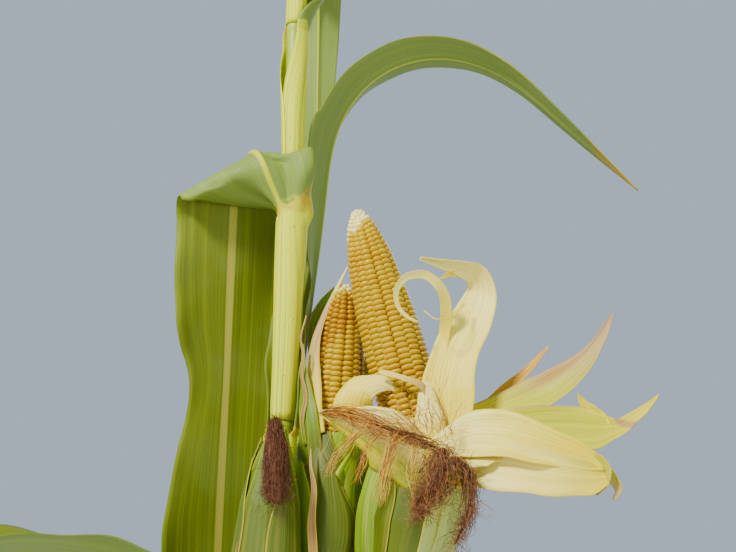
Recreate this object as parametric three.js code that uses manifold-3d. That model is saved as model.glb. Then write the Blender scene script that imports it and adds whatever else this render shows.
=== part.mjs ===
// A field maize plant in fruit, from the flat cut of its stem at the ground to the tip of its tassel.
// The stem is jointed and carries one leaf at each node, in two ranks: a sheath that wraps the stem, and a
// long blade that arches over and hangs. Three ears grow from one node. Two have their husks pulled open
// and show rows of kernels, and the third is closed. Dried silk hangs from the ears, and a tassel tops the
// stem.
// Millimetres, +Z up. The origin is the centre of the stem where it meets the ground.
// +X is to the right and +Y away from a viewer who faces the opened ears.

import * as THREE from "three";
import { mergeVertices } from "three/addons/utils/BufferGeometryUtils.js";
import Module from "manifold-3d";

const wasm = await Module();
wasm.setup();

// Clearance between two pieces that touch, and the distance under which two vertices are one
const GAP = 0.3;
const WELD = 1e-4;

// Stem: the height of each node, and the stem's radius at some heights
const NODE_HEIGHTS = [22, 62, 128, 218, 338, 482, 646, 826, 1010, 1200, 1392, 1566, 1724, 1862];
const STEM_TOP = 2130;
const STEM_RADII = [
  [0, 13.5], [600, 11.8], [1010, 9.8], [1200, 8.4], [1566, 7.2], [1862, 5.2], [STEM_TOP, 3.4],
];
const STEM_SIDES = 10;
const NODE_SWELL = 1.5;
const NODE_SHOULDER = 2.7;
const STEM_LEAN = 16;
const STEM_ZIGZAG = 1.5;

// Brace roots: whorls from the two lowest nodes that reach the ground and end flat on it
const BRACE_WHORLS = [
  { node: 1, count: 7, reach: 36, radius: 2.6 },
  { node: 2, count: 8, reach: 66, radius: 3.1 },
];

// Leaves: the sheath, the blade's thickness at its margin and at its rib, half its width at the tip, how far
// along it stays broad, and how soon it opens out of the sheath's curve
const FIRST_LEAF_NODE = 4;
const SHEATH_WALL = 1.2;
const SHEATH_FLARE = 3.6;
const SHEATH_WRAP = 0.965;
const SHEATH_START = 3;
const SHEATH_SIDES = 8;
const SHEATH_OPENS = 50;
const FLAG_INTERNODE = 150;
const BLADE_EDGE = 1.7;
const BLADE_RIB = 5.2;
const BLADE_TIP = 0.7;
const SHOULDERS = 2.6;
const UNROLL = 30;
const TROUGH_RADIUS = 150;
const WAVE_LENGTH = 210;

// Ears: the node that bears them, where the kernels begin and end on each opened ear, and where the closed
// ear begins and ends
const EAR_NODE = 9;
const RIGHT_EAR = { base: [114, -38, 1172], tip: [61.6, -20, 1376], radius: 25.5, rows: 14 };
const LEFT_EAR = { base: [41, -11, 1168], tip: [50.5, 6, 1318], radius: 23, rows: 14 };
const CLOSED_EAR = { base: [-10, -42, 992], tip: [0, -38, 1198], radius: 24.5 };
const KERNEL_GROOVE = 0.06;
const HUSK = 1.8;
const HUSK_LAP = 0.03;

// Silk: how far its threads gather in lobes, as a share of the radius of a bundle
const SILK_LOBES = 0.16;

// Tassel: the spike that carries on from the stem, and the branches round its foot
const TASSEL_TOP = 2470;
const TASSEL_BRANCHES = 9;
const TASSEL_CROWN = 120;

// How rough the surfaces are: kernels are glossy, leaves and husks less so, silk and the tassel are dull
const GLOSSY = 0.35;
const SATIN = 0.6;
const DULL = 0.8;

const COLOURS = {
  stem: 0x9cab4a,
  leaf: 0x5c7a2a,
  dryLeaf: 0xb49a62,
  kernel: 0xf2b31b,
  greenHusk: 0x8fa548,
  paleHusk: 0xe9dfa8,
  dryHusk: 0xc9a06a,
  silk: 0x6b3b25,
  paleSilk: 0xc79a55,
  tassel: 0xb28c5c,
};

const vector = (p) => new THREE.Vector3(...p);
const radians = THREE.MathUtils.degToRad;
const mix = THREE.MathUtils.lerp;
const smooth = (x, from, to) => THREE.MathUtils.smoothstep(x, from, to);

// A value read off a list of [place, value] pairs in rising order, straight between them
function readOff(pairs, place) {
  const after = pairs.findIndex(([p]) => p >= place);
  if (after === 0) return pairs[0][1];
  if (after < 0) return pairs[pairs.length - 1][1];
  const [p0, v0] = pairs[after - 1];
  const [p1, v1] = pairs[after];
  return mix(v0, v1, (place - p0) / (p1 - p0));
}

// A repeatable number from -1 to 1 for a seed
function chance(seed) {
  const x = Math.sin(seed * 127.1 + 11.7) * 43758.5453;
  return 2 * (x - Math.floor(x)) - 1;
}

// A closed geometry as a solid that faces out
function solidOf(geometry) {
  geometry.deleteAttribute("normal");
  geometry.deleteAttribute("uv");
  const merged = mergeVertices(geometry, WELD);
  const vertProperties = new Float32Array(merged.attributes.position.array);
  const triVerts = new Uint32Array(merged.index.array);
  const made = new wasm.Manifold(new wasm.Mesh({ numProp: 3, vertProperties, triVerts }));
  if (made.volume() > 0) return made;
  for (let i = 0; i < triVerts.length; i += 3) {
    [triVerts[i + 1], triVerts[i + 2]] = [triVerts[i + 2], triVerts[i + 1]];
  }
  return new wasm.Manifold(new wasm.Mesh({ numProp: 3, vertProperties, triVerts }));
}

// The largest single piece of a solid, so that a cut leaves no loose scraps
function largest(solid) {
  const bodies = solid.decompose();
  return bodies.reduce((a, b) => (a.volume() >= b.volume() ? a : b));
}

function meshOf(name, solid, colour, roughness) {
  const { numProp, vertProperties, triVerts } = solid.getMesh();
  const positions = new Float32Array((vertProperties.length / numProp) * 3);
  for (let i = 0; i < positions.length / 3; i += 1) {
    positions.set(vertProperties.subarray(i * numProp, i * numProp + 3), i * 3);
  }
  const geometry = new THREE.BufferGeometry();
  geometry.setAttribute("position", new THREE.BufferAttribute(positions, 3));
  geometry.setIndex(new THREE.BufferAttribute(new Uint32Array(triVerts), 1));
  geometry.computeVertexNormals();
  const material = new THREE.MeshStandardMaterial({ color: colour, roughness, metalness: 0 });
  const mesh = new THREE.Mesh(geometry, material);
  mesh.name = name;
  return mesh;
}

// Moves every vertex of a geometry to the place that a function gives for it
function shaped(geometry, place) {
  const positions = geometry.getAttribute("position");
  const p = new THREE.Vector3();
  for (let i = 0; i < positions.count; i += 1) {
    p.fromBufferAttribute(positions, i);
    positions.setXYZ(i, ...place(p).toArray());
  }
  return geometry;
}

// A round limb along a curve: its radius is a function of the share of the way along and the angle round
function limb(curve, radius, sides, steps) {
  const frames = curve.computeFrenetFrames(steps, false);
  return solidOf(
    shaped(new THREE.CylinderGeometry(1, 1, 1, sides, steps), (p) => {
      const along = p.y + 0.5;
      const step = Math.round(along * steps);
      const turn = Math.atan2(p.z, p.x);
      const r = Math.hypot(p.x, p.z) * radius(along, turn);
      return curve
        .getPoint(along)
        .addScaledVector(frames.normals[step], r * Math.cos(turn))
        .addScaledVector(frames.binormals[step], r * Math.sin(turn));
    }),
  );
}

// A ribbon of some thickness on a surface. The surface gives a point for the share along and the place
// across, from -1 to 1. The thickness is given for each side of the surface.
function ribbon(surface, front, back, across, along) {
  const nudge = 1e-3;
  return solidOf(
    shaped(new THREE.BoxGeometry(1, 1, 1, across, along, 1), (p) => {
      const u = p.y + 0.5;
      const v = 2 * p.x;
      const lengthwise = surface(u + nudge, v).sub(surface(u - nudge, v));
      const crosswise = surface(u, v + nudge).sub(surface(u, v - nudge));
      const normal = lengthwise.cross(crosswise).normalize();
      return surface(u, v).addScaledVector(normal, p.z > 0 ? front(u, v) : -back(u, v));
    }),
  );
}

// Where the stem's centre line is at a height: it leans a little and steps from side to side at its nodes
function stemCentre(z) {
  const swing = (i) => (i < FIRST_LEAF_NODE - 1 ? 0 : STEM_ZIGZAG * (-1) ** i);
  const swings = NODE_HEIGHTS.map((height, i) => [height, swing(i)]);
  const lean = STEM_LEAN * (z / TASSEL_TOP) ** 3;
  return new THREE.Vector2(lean + readOff(swings, z), 0.4 * lean);
}

const stemRadius = (z) => readOff(STEM_RADII, z);

const stemShift = (p) => {
  const centre = stemCentre(p.z);
  return new THREE.Vector3(p.x + centre.x, p.y + centre.y, p.z);
};

// The jointed stem, turned from its profile: a swollen ring at each node, with a shoulder for the sheath
function stemSolid(grow) {
  const profile = [[0, 0], [stemRadius(0) + grow, 0]];
  for (const height of NODE_HEIGHTS) {
    const r = stemRadius(height) + grow;
    profile.push([r, height - 6], [r + NODE_SWELL, height + NODE_SHOULDER], [r, height + NODE_SHOULDER]);
  }
  profile.push([stemRadius(STEM_TOP) + grow, STEM_TOP], [0, STEM_TOP]);
  const lathe = new THREE.LatheGeometry(profile.map(([r, z]) => new THREE.Vector2(r, z)), STEM_SIDES);
  lathe.rotateX(Math.PI / 2);
  return solidOf(shaped(lathe, stemShift));
}

// One brace root: out of the stem, round, and down to the ground
function braceRoot(whorl, index) {
  const turn = ((index + 0.3 * chance(index + 10 * whorl.node)) / whorl.count) * 2 * Math.PI + whorl.node;
  const height = NODE_HEIGHTS[whorl.node - 1];
  const inside = stemRadius(height) - 3;
  const at = (r, z) => new THREE.Vector3(r * Math.cos(turn), r * Math.sin(turn), z);
  const shoulder = mix(inside, whorl.reach, 0.55);
  const [top, bow, foot] = [at(inside, height), at(shoulder, height * 0.86), at(whorl.reach, -6)];
  const curve = new THREE.QuadraticBezierCurve3(top, bow, foot);
  return limb(curve, (along) => mix(whorl.radius, whorl.radius * 0.85, along), 5, 3);
}

function stemWithRoots() {
  const whorlRoots = (whorl) => [...Array(whorl.count).keys()].map((i) => braceRoot(whorl, i));
  const roots = BRACE_WHORLS.flatMap(whorlRoots);
  const belowGround = solidOf(new THREE.BoxGeometry(400, 400, 40).translate(0, 0, -20));
  return largest(roots.reduce((whole, root) => whole.add(root), stemSolid(0)).subtract(belowGround));
}

// What every leaf has, worked out from its node, before the leaves that the view shows are set apart
function plainLeaf(node) {
  const right = node % 2 === 1;
  const rank = (node - FIRST_LEAF_NODE) / (NODE_HEIGHTS.length - FIRST_LEAF_NODE);
  const fullness = Math.sin(Math.PI * mix(0.3, 0.84, rank));
  const side = Math.floor((node % 4) / 2) ? 17 : -17;
  return {
    node,
    facing: (right ? 0 : 180) + 0.5 * side,
    heading: (right ? 0 : 180) + side,
    turnOver: 120,
    length: mix(330, 800, fullness),
    halfWidth: mix(20, 50, fullness),
    rise: mix(34, 24, rank),
    fall: mix(168, 128, rank),
    bendFrom: 0.05,
    bendTo: mix(0.72, 0.95, rank),
    sheath: (NODE_HEIGHTS[node] ?? NODE_HEIGHTS[node - 1] + FLAG_INTERNODE) - NODE_HEIGHTS[node - 1] - 12,
    ruffle: 7,
    fold: 14,
    drift: [0, 0],
    driftOver: 150,
    splitAt: 0.42,
    collarWrap: 0.62,
    near: [],
    far: [],
    nearFold: 0,
    nearShare: 1,
    lift: 0,
    tipSides: 4,
    baseRows: 9,
    jointGap: GAP,
    nearUnroll: UNROLL,
    farUnroll: UNROLL,
    droop: 0,
    dry: node === FIRST_LEAF_NODE,
  };
}

// The leaves that are seen close to the ears, set apart from the rest by how they bend. Leaf 10 is bent
// back over its own upper side, so that its near half lies round the stem and its far half hangs as a flap:
// near and far give those halves' widths by the distance from the collar.
const LEAF_CHANGES = {
  8: { facing: 160, heading: 214, rise: 44, bendTo: 0.6, sheath: 148, nearUnroll: 14 },
  9: {
    facing: 50, heading: -8, turnOver: 240, length: 655, halfWidth: 40, rise: 3, fall: 138,
    bendFrom: 0.34, bendTo: 0.83, fold: 16, drift: [10, 26], splitAt: 0.58, ruffle: 4,
    nearUnroll: 110, farUnroll: 110,
    near: [[0, 26], [130, 30], [200, 34], [260, 40]],
    far: [[0, 25], [60, 23], [130, 27], [220, 31], [290, 40]],
  },
  10: {
    facing: 228, heading: 280, turnOver: 45, length: 850, halfWidth: 53, rise: 22, fall: -171,
    bendFrom: 0.026, bendTo: 0.112, fold: 6, nearFold: -30, nearShare: 0.85, drift: [-34, 0], driftOver: 110,
    splitAt: 0.074, tipSides: 8, ruffle: 9, collarWrap: 0.68, droop: 0.52, lift: 0.42, nearUnroll: 16,
    farUnroll: 9, baseRows: 14, jointGap: 1.4,
    near: [[0, 29], [22, 38], [36, 38], [46, 18], [84, 19], [112, 45]],
    far: [[0, 29], [12, 42], [26, 58], [56, 63], [112, 53]],
  },
  11: {
    facing: 34, heading: 88, turnOver: 90, length: 430, halfWidth: 32, rise: 14, fall: 177,
    bendFrom: 0.14, bendTo: 0.58, splitAt: 0.38, sheath: 168,
  },
  12: { heading: 158, facing: 172 },
  13: { heading: -14, facing: -8 },
};

const LEAVES = NODE_HEIGHTS.map((z, i) => i + 1)
  .filter((node) => node >= FIRST_LEAF_NODE)
  .map((node) => ({ ...plainLeaf(node), ...LEAF_CHANGES[node] }));

// The radius of the middle of a leaf's sheath wall, a share of the way up it
function sheathRadius(leaf, share) {
  const z = NODE_HEIGHTS[leaf.node - 1] + SHEATH_START + share * leaf.sheath;
  const clear = (stemRadius(NODE_HEIGHTS[leaf.node - 1]) + GAP) / Math.cos(Math.PI / SHEATH_SIDES);
  const slim = stemRadius(NODE_HEIGHTS[leaf.node - 1]) - stemRadius(z);
  return clear + SHEATH_WALL / 2 - 0.5 * slim * share + SHEATH_FLARE * smooth(share, 0.1, 1);
}

// The rib of a leaf's blade as points and frames at even steps, from the collar to the tip
function bladeRib(leaf) {
  const collarZ = NODE_HEIGHTS[leaf.node - 1] + SHEATH_START + leaf.sheath;
  const centre = stemCentre(collarZ);
  const collarRadius = sheathRadius(leaf, 1);
  const facing = radians(leaf.facing);
  const start = new THREE.Vector3(centre.x, centre.y, collarZ).add(
    new THREE.Vector3(Math.cos(facing), Math.sin(facing), 0).multiplyScalar(collarRadius),
  );
  const stepLength = 2;
  const steps = Math.ceil(leaf.length / stepLength);
  const stations = [];
  const walker = start.clone();
  for (let i = 0; i <= steps; i += 1) {
    const s = i * stepLength;
    const azimuth = radians(mix(leaf.facing, leaf.heading, smooth(s, 0, leaf.turnOver)));
    const bend = smooth(s / leaf.length, leaf.bendFrom, leaf.bendTo);
    const tilt = radians(mix(leaf.rise, leaf.fall, bend) * smooth(s, -UNROLL, 0.7 * UNROLL));
    const forward = new THREE.Vector3(
      Math.sin(tilt) * Math.cos(azimuth),
      Math.sin(tilt) * Math.sin(azimuth),
      Math.cos(tilt),
    );
    const across = new THREE.Vector3(-Math.sin(azimuth), Math.cos(azimuth), 0);
    const inward = forward.clone().cross(across);
    const shift = smooth(s, 0, leaf.driftOver);
    const place = walker.clone().add(new THREE.Vector3(leaf.drift[0] * shift, leaf.drift[1] * shift, 0));
    stations.push({ place, across, inward });
    walker.addScaledVector(forward, stepLength);
  }
  return { stations, stepLength, collarRadius, collarZ };
}

// How much of the way round the stem each half of the sheath reaches, less where it opens at the collar
const wrapAt = (leaf, s) => mix(SHEATH_WRAP, leaf.collarWrap, smooth(s, -SHEATH_OPENS, 0));

// Half the blade's width at a distance from the collar: nearly even at first, then drawn out to a point
function bladeHalfWidth(leaf, s, v, collarRadius) {
  const set = v > 0 ? leaf.near : leaf.far;
  if (set.length && s < set[set.length - 1][0]) return readOff(set, s);
  const wrapped = Math.PI * leaf.collarWrap * collarRadius;
  const outline = leaf.halfWidth * Math.max(0, 1 - Math.min(1, s / leaf.length) ** SHOULDERS) ** 0.85;
  const share = v > 0 ? leaf.nearShare : 1;
  return Math.max(BLADE_TIP, mix(wrapped, share * outline, smooth(s, 0, 2.5 * UNROLL)));
}

// A point of a leaf. s runs along it, negative in the sheath and from 0 at the collar in the blade.
function leafPoint(leaf, rib, s, v) {
  if (s <= 0) {
    const z = rib.collarZ + s;
    const radius = sheathRadius(leaf, 1 + s / leaf.sheath);
    const turn = radians(leaf.facing) + Math.PI * wrapAt(leaf, s) * v;
    const centre = stemCentre(z);
    return new THREE.Vector3(centre.x + radius * Math.cos(turn), centre.y + radius * Math.sin(turn), z);
  }
  const share = Math.min(1, s / leaf.length);
  const step = Math.min(rib.stations.length - 2, Math.floor(s / rib.stepLength));
  const part = s / rib.stepLength - step;
  const [a, b] = [rib.stations[step], rib.stations[step + 1]];
  const t = v * bladeHalfWidth(leaf, s, v, rib.collarRadius);
  const opened = smooth(s, 0, 3 * UNROLL);
  const unroll = v < 0 ? leaf.farUnroll : leaf.nearUnroll;
  const curl = mix(1 / rib.collarRadius, 1 / TROUGH_RADIUS, 1 - Math.exp(-((s / unroll) ** 2)));
  const sideways = Math.sin(curl * t) / curl;
  const swell = Math.sin((2 * Math.PI * s) / WAVE_LENGTH + 1.7 * Math.sign(v) + leaf.node);
  const wave = swell * v * v * leaf.ruffle;
  const folded = v > 0 && leaf.nearFold ? leaf.nearFold * smooth(s, 60, 130) : leaf.fold * opened;
  const lifted = Math.abs(t) * Math.tan(radians(folded)) * (1 - share);
  const upward = (1 - Math.cos(curl * t)) / curl + lifted + wave * opened * (1 - share) ** 2;
  const lift = leaf.lift * smooth(s, 0, 30) * (1 - smooth(s, 60, 100));
  const raised = t * (v < 0 ? leaf.droop * smooth(s, 0, 50) : lift);
  return a.place
    .clone()
    .lerp(b.place, part)
    .addScaledVector(a.across.clone().lerp(b.across, part), sideways)
    .addScaledVector(a.inward.clone().lerp(b.inward, part), upward)
    .add(new THREE.Vector3(0, 0, raised));
}

// One stretch of a leaf as a solid with the rib standing out of the underside. at gives the distance from
// the collar for a share of the stretch.
function leafStretch(leaf, rib, at, across, along) {
  const wall = (u) => mix(SHEATH_WALL, BLADE_EDGE, smooth(at(u), 0, 60)) / 2;
  const ribHeight = (s) => BLADE_RIB * smooth(s, 0, 60) * (1 - 0.7 * smooth(s / leaf.length, 0.4, 1));
  const keel = (u, v) => ribHeight(at(u)) * (1 - Math.abs(v)) ** 2;
  const surface = (u, v) => leafPoint(leaf, rib, at(u), v);
  return ribbon(surface, wall, (u, v) => wall(u) + keel(u, v), across, along);
}

// A leaf's two solids: the sheath with the rising blade, and the blade from its bend to its tip. rows gives
// the distance from the collar for a share of the first one, close together where the sheath opens.
function leafSolids(leaf) {
  const rib = bladeRib(leaf);
  const split = leaf.splitAt * leaf.length;
  const low = Math.min(40, 0.5 * split);
  const rows = [[0, -leaf.sheath], [0.22, -24], [0.33, 0], [0.55, low], [1, split - leaf.jointGap]];
  const sheath = leafStretch(leaf, rib, (u) => readOff(rows, u), SHEATH_SIDES, leaf.baseRows);
  const tip = leafStretch(leaf, rib, (u) => mix(split, leaf.length, Math.max(0, u) ** 1.4), leaf.tipSides, 9);
  return { sheath, tip };
}

// An ear's own axis, as a place and a turn for what is made upright round the origin
function alongEar(geometry, ear) {
  const axis = vector(ear.tip).sub(vector(ear.base)).normalize();
  geometry.applyQuaternion(new THREE.Quaternion().setFromUnitVectors(new THREE.Vector3(0, 0, 1), axis));
  return geometry.translate(...ear.base);
}

const earLength = (ear) => vector(ear.tip).distanceTo(vector(ear.base));

// An opened ear: a cob that tapers to a blunt tip, with a groove between each two rows of kernels
function cobSolid(ear, grow) {
  const length = earLength(ear);
  const outline = [[0, 0.8], [0.08, 0.93], [0.3, 1], [0.55, 0.94], [0.78, 0.76], [0.92, 0.52], [0.985, 0.27]];
  const profile = outline.map(([share, r]) => new THREE.Vector2(r * ear.radius + grow, share * length));
  profile[0].y -= grow;
  profile.unshift(new THREE.Vector2(0, -grow));
  profile.push(new THREE.Vector2(0, length + grow));
  const lathe = new THREE.LatheGeometry(profile, 2 * ear.rows).rotateX(Math.PI / 2);
  const grooved = shaped(lathe, (p) => {
    const turn = Math.atan2(p.y, p.x);
    const dip = grow > 0 ? 1 : 1 - KERNEL_GROOVE * (0.5 - 0.5 * Math.cos(ear.rows * turn));
    return new THREE.Vector3(p.x * dip, p.y * dip, p.z);
  });
  return solidOf(alongEar(grooved, ear));
}

// The closed foot of an opened ear, where its outer husks still hold together round the end of the cob
const CUPS = {
  right: {
    path: [[86, -37, 1060], [95, -40, 1082], [106, -42, 1118], [115, -41, 1158], [114, -38, 1196]],
    radius: [[0, 8], [0.2, 20], [0.5, 32], [0.8, 32], [1, 28.5]],
  },
  left: {
    path: [[24, -16, 1056], [33, -18, 1080], [40, -17, 1110], [41, -13, 1150], [42, -9, 1188]],
    radius: [[0, 8], [0.2, 17], [0.5, 25], [0.8, 27], [1, 25.5]],
  },
};

const cupSolid = (cup, grow) => {
  const path = cup.path.map(vector);
  const [low, high] = [path[0], path[path.length - 1]];
  low.addScaledVector(low.clone().sub(path[1]).normalize(), grow);
  high.addScaledVector(high.clone().sub(path[path.length - 2]).normalize(), grow);
  return limb(new THREE.CatmullRomCurve3(path), (along) => readOff(cup.radius, along) + grow, 16, 8);
};

// The closed ear: overlapping husks drawn to a point, with a shallow step where one husk laps the next
function closedEarSolid(grow) {
  const length = earLength(CLOSED_EAR);
  const outline = [[0, 0.3], [0.1, 0.72], [0.3, 0.98], [0.5, 1], [0.7, 0.86], [0.86, 0.58], [0.96, 0.3]];
  const radius = (share) => share * CLOSED_EAR.radius + grow;
  const profile = outline.map(([share, r]) => new THREE.Vector2(radius(r), share * length));
  profile[0].y -= grow;
  profile.unshift(new THREE.Vector2(0, -grow));
  profile.push(new THREE.Vector2(0, length + grow));
  const lathe = new THREE.LatheGeometry(profile, 15).rotateX(Math.PI / 2);
  const lapped = shaped(lathe, (p) => {
    const lap = 1 - HUSK_LAP * Math.cos(3 * Math.atan2(p.y, p.x));
    return new THREE.Vector3(p.x * lap, p.y * lap, p.z);
  });
  return solidOf(alongEar(lapped, CLOSED_EAR));
}

// A husk: a ribbon on a curve. face points out of its inner side at the foot and at the tip, width is half
// its width at even steps along it, and hollow is how deep it is across, as a share of that half width.
function huskSurface(husk) {
  const curve = new THREE.CatmullRomCurve3(husk.spine.map(vector), false, "catmullrom", 0.5);
  const faces = husk.face.map((f) => vector(f).normalize());
  const widths = husk.width.map((w, i) => [i / (husk.width.length - 1), w]);
  return (u, v) => {
    const share = THREE.MathUtils.clamp(u, 0, 1);
    const forward = curve.getTangent(share);
    const place = share * (faces.length - 1);
    const step = Math.min(faces.length - 2, Math.floor(place));
    const face = faces[step].clone().lerp(faces[step + 1], place - step);
    const across = forward.clone().cross(face).normalize();
    const inner = across.clone().cross(forward).normalize();
    const half = readOff(widths, share);
    const hollow = husk.hollow * half * v * v;
    return curve
      .getPoint(share)
      .addScaledVector(forward, (u - share) * curve.getLength())
      .addScaledVector(across, v * half)
      .addScaledVector(inner, hollow);
  };
}

function huskSolid(husk, grow) {
  const half = () => HUSK / 2 + grow;
  const wide = { ...husk, width: husk.width.map((w) => w + grow) };
  return ribbon(huskSurface(wide), half, half, husk.across ?? 4, husk.along ?? 10);
}

// Husks of the two opened ears, from the innermost out, as they lie once they have been pulled down
const HUSKS = [
  {
    name: "husk_left_inner", colour: COLOURS.paleHusk,
    spine: [[28, -32, 1188], [23, -27, 1220], [20, -20, 1250], [24, -10, 1282], [37, 4, 1314],
      [53, 8, 1341]],
    face: [[1, 0.8, 0], [1, 0.6, 0], [0.9, 0.2, -0.4]], width: [10, 12, 13, 12, 9, 2], hollow: 0.4,
  },
  {
    name: "husk_left_outer", colour: COLOURS.greenHusk,
    spine: [[23, -33, 1160], [22, -34, 1193], [20, -31, 1216], [18, -27, 1239], [17, -22, 1262]],
    face: [[0.6, 1, 0], [0.8, 1, 0], [1, 0.6, 0.1]], width: [12, 11, 8, 4, 1.5], hollow: 0.4, along: 8,
  },
  {
    name: "husk_left_back", colour: COLOURS.greenHusk,
    spine: [[45, 8, 1174], [45, 22, 1192], [40, 28, 1225], [37, 29, 1260], [36, 30, 1295], [41, 31, 1326]],
    face: [[0.3, -1, 0], [0.4, -1, 0], [0.2, -1, -0.2]], width: [13, 16, 14, 13, 10, 3],
      hollow: 0.35, along: 10,
  },
  {
    name: "husk_curl", colour: COLOURS.paleHusk,
    spine: [[65, -56, 1192], [66, -54, 1211], [68, -50, 1224], [70, -44, 1236]],
    face: [[0.1, -1, 0.3], [0.1, -1, 0.1], [0, -1, -0.3]], width: [19, 23, 22, 11], hollow: -0.25, along: 6,
  },
  {
    name: "husk_band", colour: COLOURS.paleHusk,
    spine: [[75, -62, 1234], [87, -68, 1230], [98, -71, 1226], [110, -70, 1221], [121, -66, 1208]],
    face: [[0, -1, 0.4], [0.2, -1, 0.4]], width: [2, 2.5, 2.5, 3, 4], hollow: 0.1, along: 8, across: 1,
  },
  {
    name: "husk_front", colour: COLOURS.greenHusk,
    spine: [[116, -72, 1128], [99, -82, 1156], [76, -86, 1175], [55, -76, 1189], [34, -58, 1202]],
    face: [[-0.2, 1, 0.1], [0.1, 0.9, 0.6], [0.3, 0.8, 0.5]], width: [16, 27, 26, 14, 2],
      hollow: 0.35, along: 11,
  },
  {
    name: "husk_right_front", colour: COLOURS.paleHusk,
    spine: [[116, -76, 1150], [116, -77, 1180], [115, -73, 1203], [113, -68, 1224]],
    face: [[0.1, 1, 0.1], [0.2, 1, 0.1]], width: [13, 13, 10, 4], hollow: 0.4, along: 7,
  },
  {
    name: "husk_tall", colour: COLOURS.paleHusk,
    spine: [[129, -66, 1160], [131, -64, 1193], [135, -60, 1223], [142, -56, 1255], [152, -52, 1276],
      [162, -52, 1294],
      [159, -58, 1308], [145, -64, 1312], [128, -68, 1316], [111, -70, 1321]],
    face: [[-0.3, -1, 0.1], [-0.3, -1, 0.1], [-0.4, -1, -0.4], [-0.1, -0.8, -1]],
    width: [16, 16, 16, 16, 16, 14, 11, 7, 4, 1.5], hollow: 0.14, along: 16,
  },
  {
    name: "husk_strap", colour: COLOURS.paleHusk,
    spine: [[116, -74, 1184], [119, -79, 1203], [123, -76, 1232], [127, -74, 1250], [130, -76, 1270],
      [130, -78, 1286], [125, -80, 1298], [114, -82, 1304],
      [100, -83, 1302], [92, -82, 1292], [93, -80, 1280], [100, -78, 1272], [109, -76, 1268]],
    face: [[-0.8, -1, 0], [-0.6, -1, 0], [0.2, -1, -0.6], [0.8, -1, 0]],
    width: [2, 2.5, 3, 4, 4.5, 5, 5, 4, 3.2, 2.8, 2.2, 1.6, 1], hollow: 0.1, along: 20, across: 1,
  },
  {
    name: "husk_side_upper", colour: COLOURS.paleHusk,
    spine: [[112, -74, 1162], [122, -84, 1172], [142, -96, 1180], [164, -102, 1180], [188, -104, 1174],
      [213, -102, 1167],
      [236, -98, 1160]],
    face: [[-0.2, -1, 0.5], [0, -1, 0.5], [0, -1, 0.3]], width: [8, 11, 18, 20, 17, 12, 4],
      hollow: 0.2, along: 12,
  },
  {
    name: "husk_side_lower", colour: COLOURS.paleHusk,
    spine: [[130, -78, 1160], [151, -88, 1163], [175, -92, 1161], [200, -90, 1157], [222, -86, 1153],
      [240, -82, 1152]],
    face: [[-0.2, -1, 0.4], [0, -1, 0.4], [-0.2, -1, 0.3]], width: [12, 16, 17, 15, 12, 4],
      hollow: 0.2, along: 11,
  },
  {
    name: "husk_side_green", colour: COLOURS.greenHusk,
    spine: [[132, -50, 1172], [147, -60, 1180], [172, -66, 1186], [201, -70, 1188], [227, -70, 1187],
      [246, -70, 1186], [263, -70, 1189],
      [277, -70, 1201], [288, -70, 1214]],
    face: [[-0.2, -1, 0.4], [0, -1, 0.4], [0, -1, 0.2]], width: [6, 8, 14, 15, 15, 14, 7, 2.5, 1.2],
    hollow: 0.25, along: 14,
  },
  {
    name: "husk_pointed", colour: COLOURS.dryHusk,
    spine: [[132, -40, 1184], [148, -44, 1196], [172, -48, 1205], [197, -50, 1214], [218, -52, 1225],
      [236, -54, 1240], [251, -56, 1259],
      [262, -58, 1280]],
    face: [[-0.4, -1, 0.6], [-0.3, -1, 0.6], [-0.3, -1, 0.3]], width: [6, 7, 9, 12, 13, 11, 6, 1.2],
    hollow: 0.3, along: 11,
  },
  {
    name: "husk_narrow", colour: COLOURS.dryHusk,
    spine: [[134, -32, 1178], [156, -30, 1200], [179, -30, 1222], [198, -30, 1239], [216, -30, 1259]],
    face: [[-0.6, -1, 0.6], [-0.6, -1, 0.6]], width: [5, 6, 6, 4, 1], hollow: 0.3, along: 8,
  },
];

// Shanks: the short stems that join the ears to the stem
const SHANKS = [
  {
    name: "shank_right_ear", radius: [5.5, 7.5],
    path: [[6, -7, 1003], [36, -30, 1000], [68, -36, 1022], [82, -36.5, 1046], [85.8, -37, 1059.7]],
  },
  {
    name: "shank_left_ear", radius: [5, 7.5],
    path: [[7, 3, 999], [19, 0, 1001], [24, -8, 1018], [24.5, -14, 1038], [24, -16, 1055.7]],
  },
  {
    name: "shank_closed_ear", radius: [5, 6.5],
    path: [[-3, -7, 996], [-8, -22, 984], [-11, -36, 979], [-10.2, -42, 991.7]],
  },
];

const shankSolid = (shank, grow) =>
  limb(
    new THREE.CatmullRomCurve3(shank.path.map(vector), false, "catmullrom", 0.5),
    (along) => mix(...shank.radius, along) + grow,
    8,
    8,
  );

// Silk: plain masses where the dried threads hang together
const SILKS = [
  {
    name: "silk_closed_ear", colour: COLOURS.silk, sides: 8, steps: 6,
    path: [[1, -44, 1203], [2, -62, 1188], [4, -71, 1164], [6, -74, 1134]], radius: [[0, 4], [0.3, 8],
      [1, 12]],
  },
  {
    name: "silk_swath", colour: COLOURS.paleSilk, sides: 7, steps: 7,
    path: [[34, -58, 1202], [54, -85, 1199], [76, -101, 1189], [95, -110, 1180], [114, -116, 1172]],
    radius: [[0, 2], [0.4, 4.5], [1, 6]],
  },
  {
    name: "silk_tangle", colour: COLOURS.silk, sides: 9, steps: 7,
    path: [[124, -118, 1174], [122, -122, 1157], [114, -122, 1141], [104, -112, 1126]],
    radius: [[0, 9], [0.3, 17], [0.65, 13], [1, 5]],
  },
  {
    name: "silk_strand", colour: COLOURS.silk, sides: 6, steps: 7,
    path: [[131, -117, 1164], [145, -116, 1153], [148, -112, 1130], [144, -106, 1104]],
    radius: [[0, 3], [0.5, 6], [1, 5]],
  },
];

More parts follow.
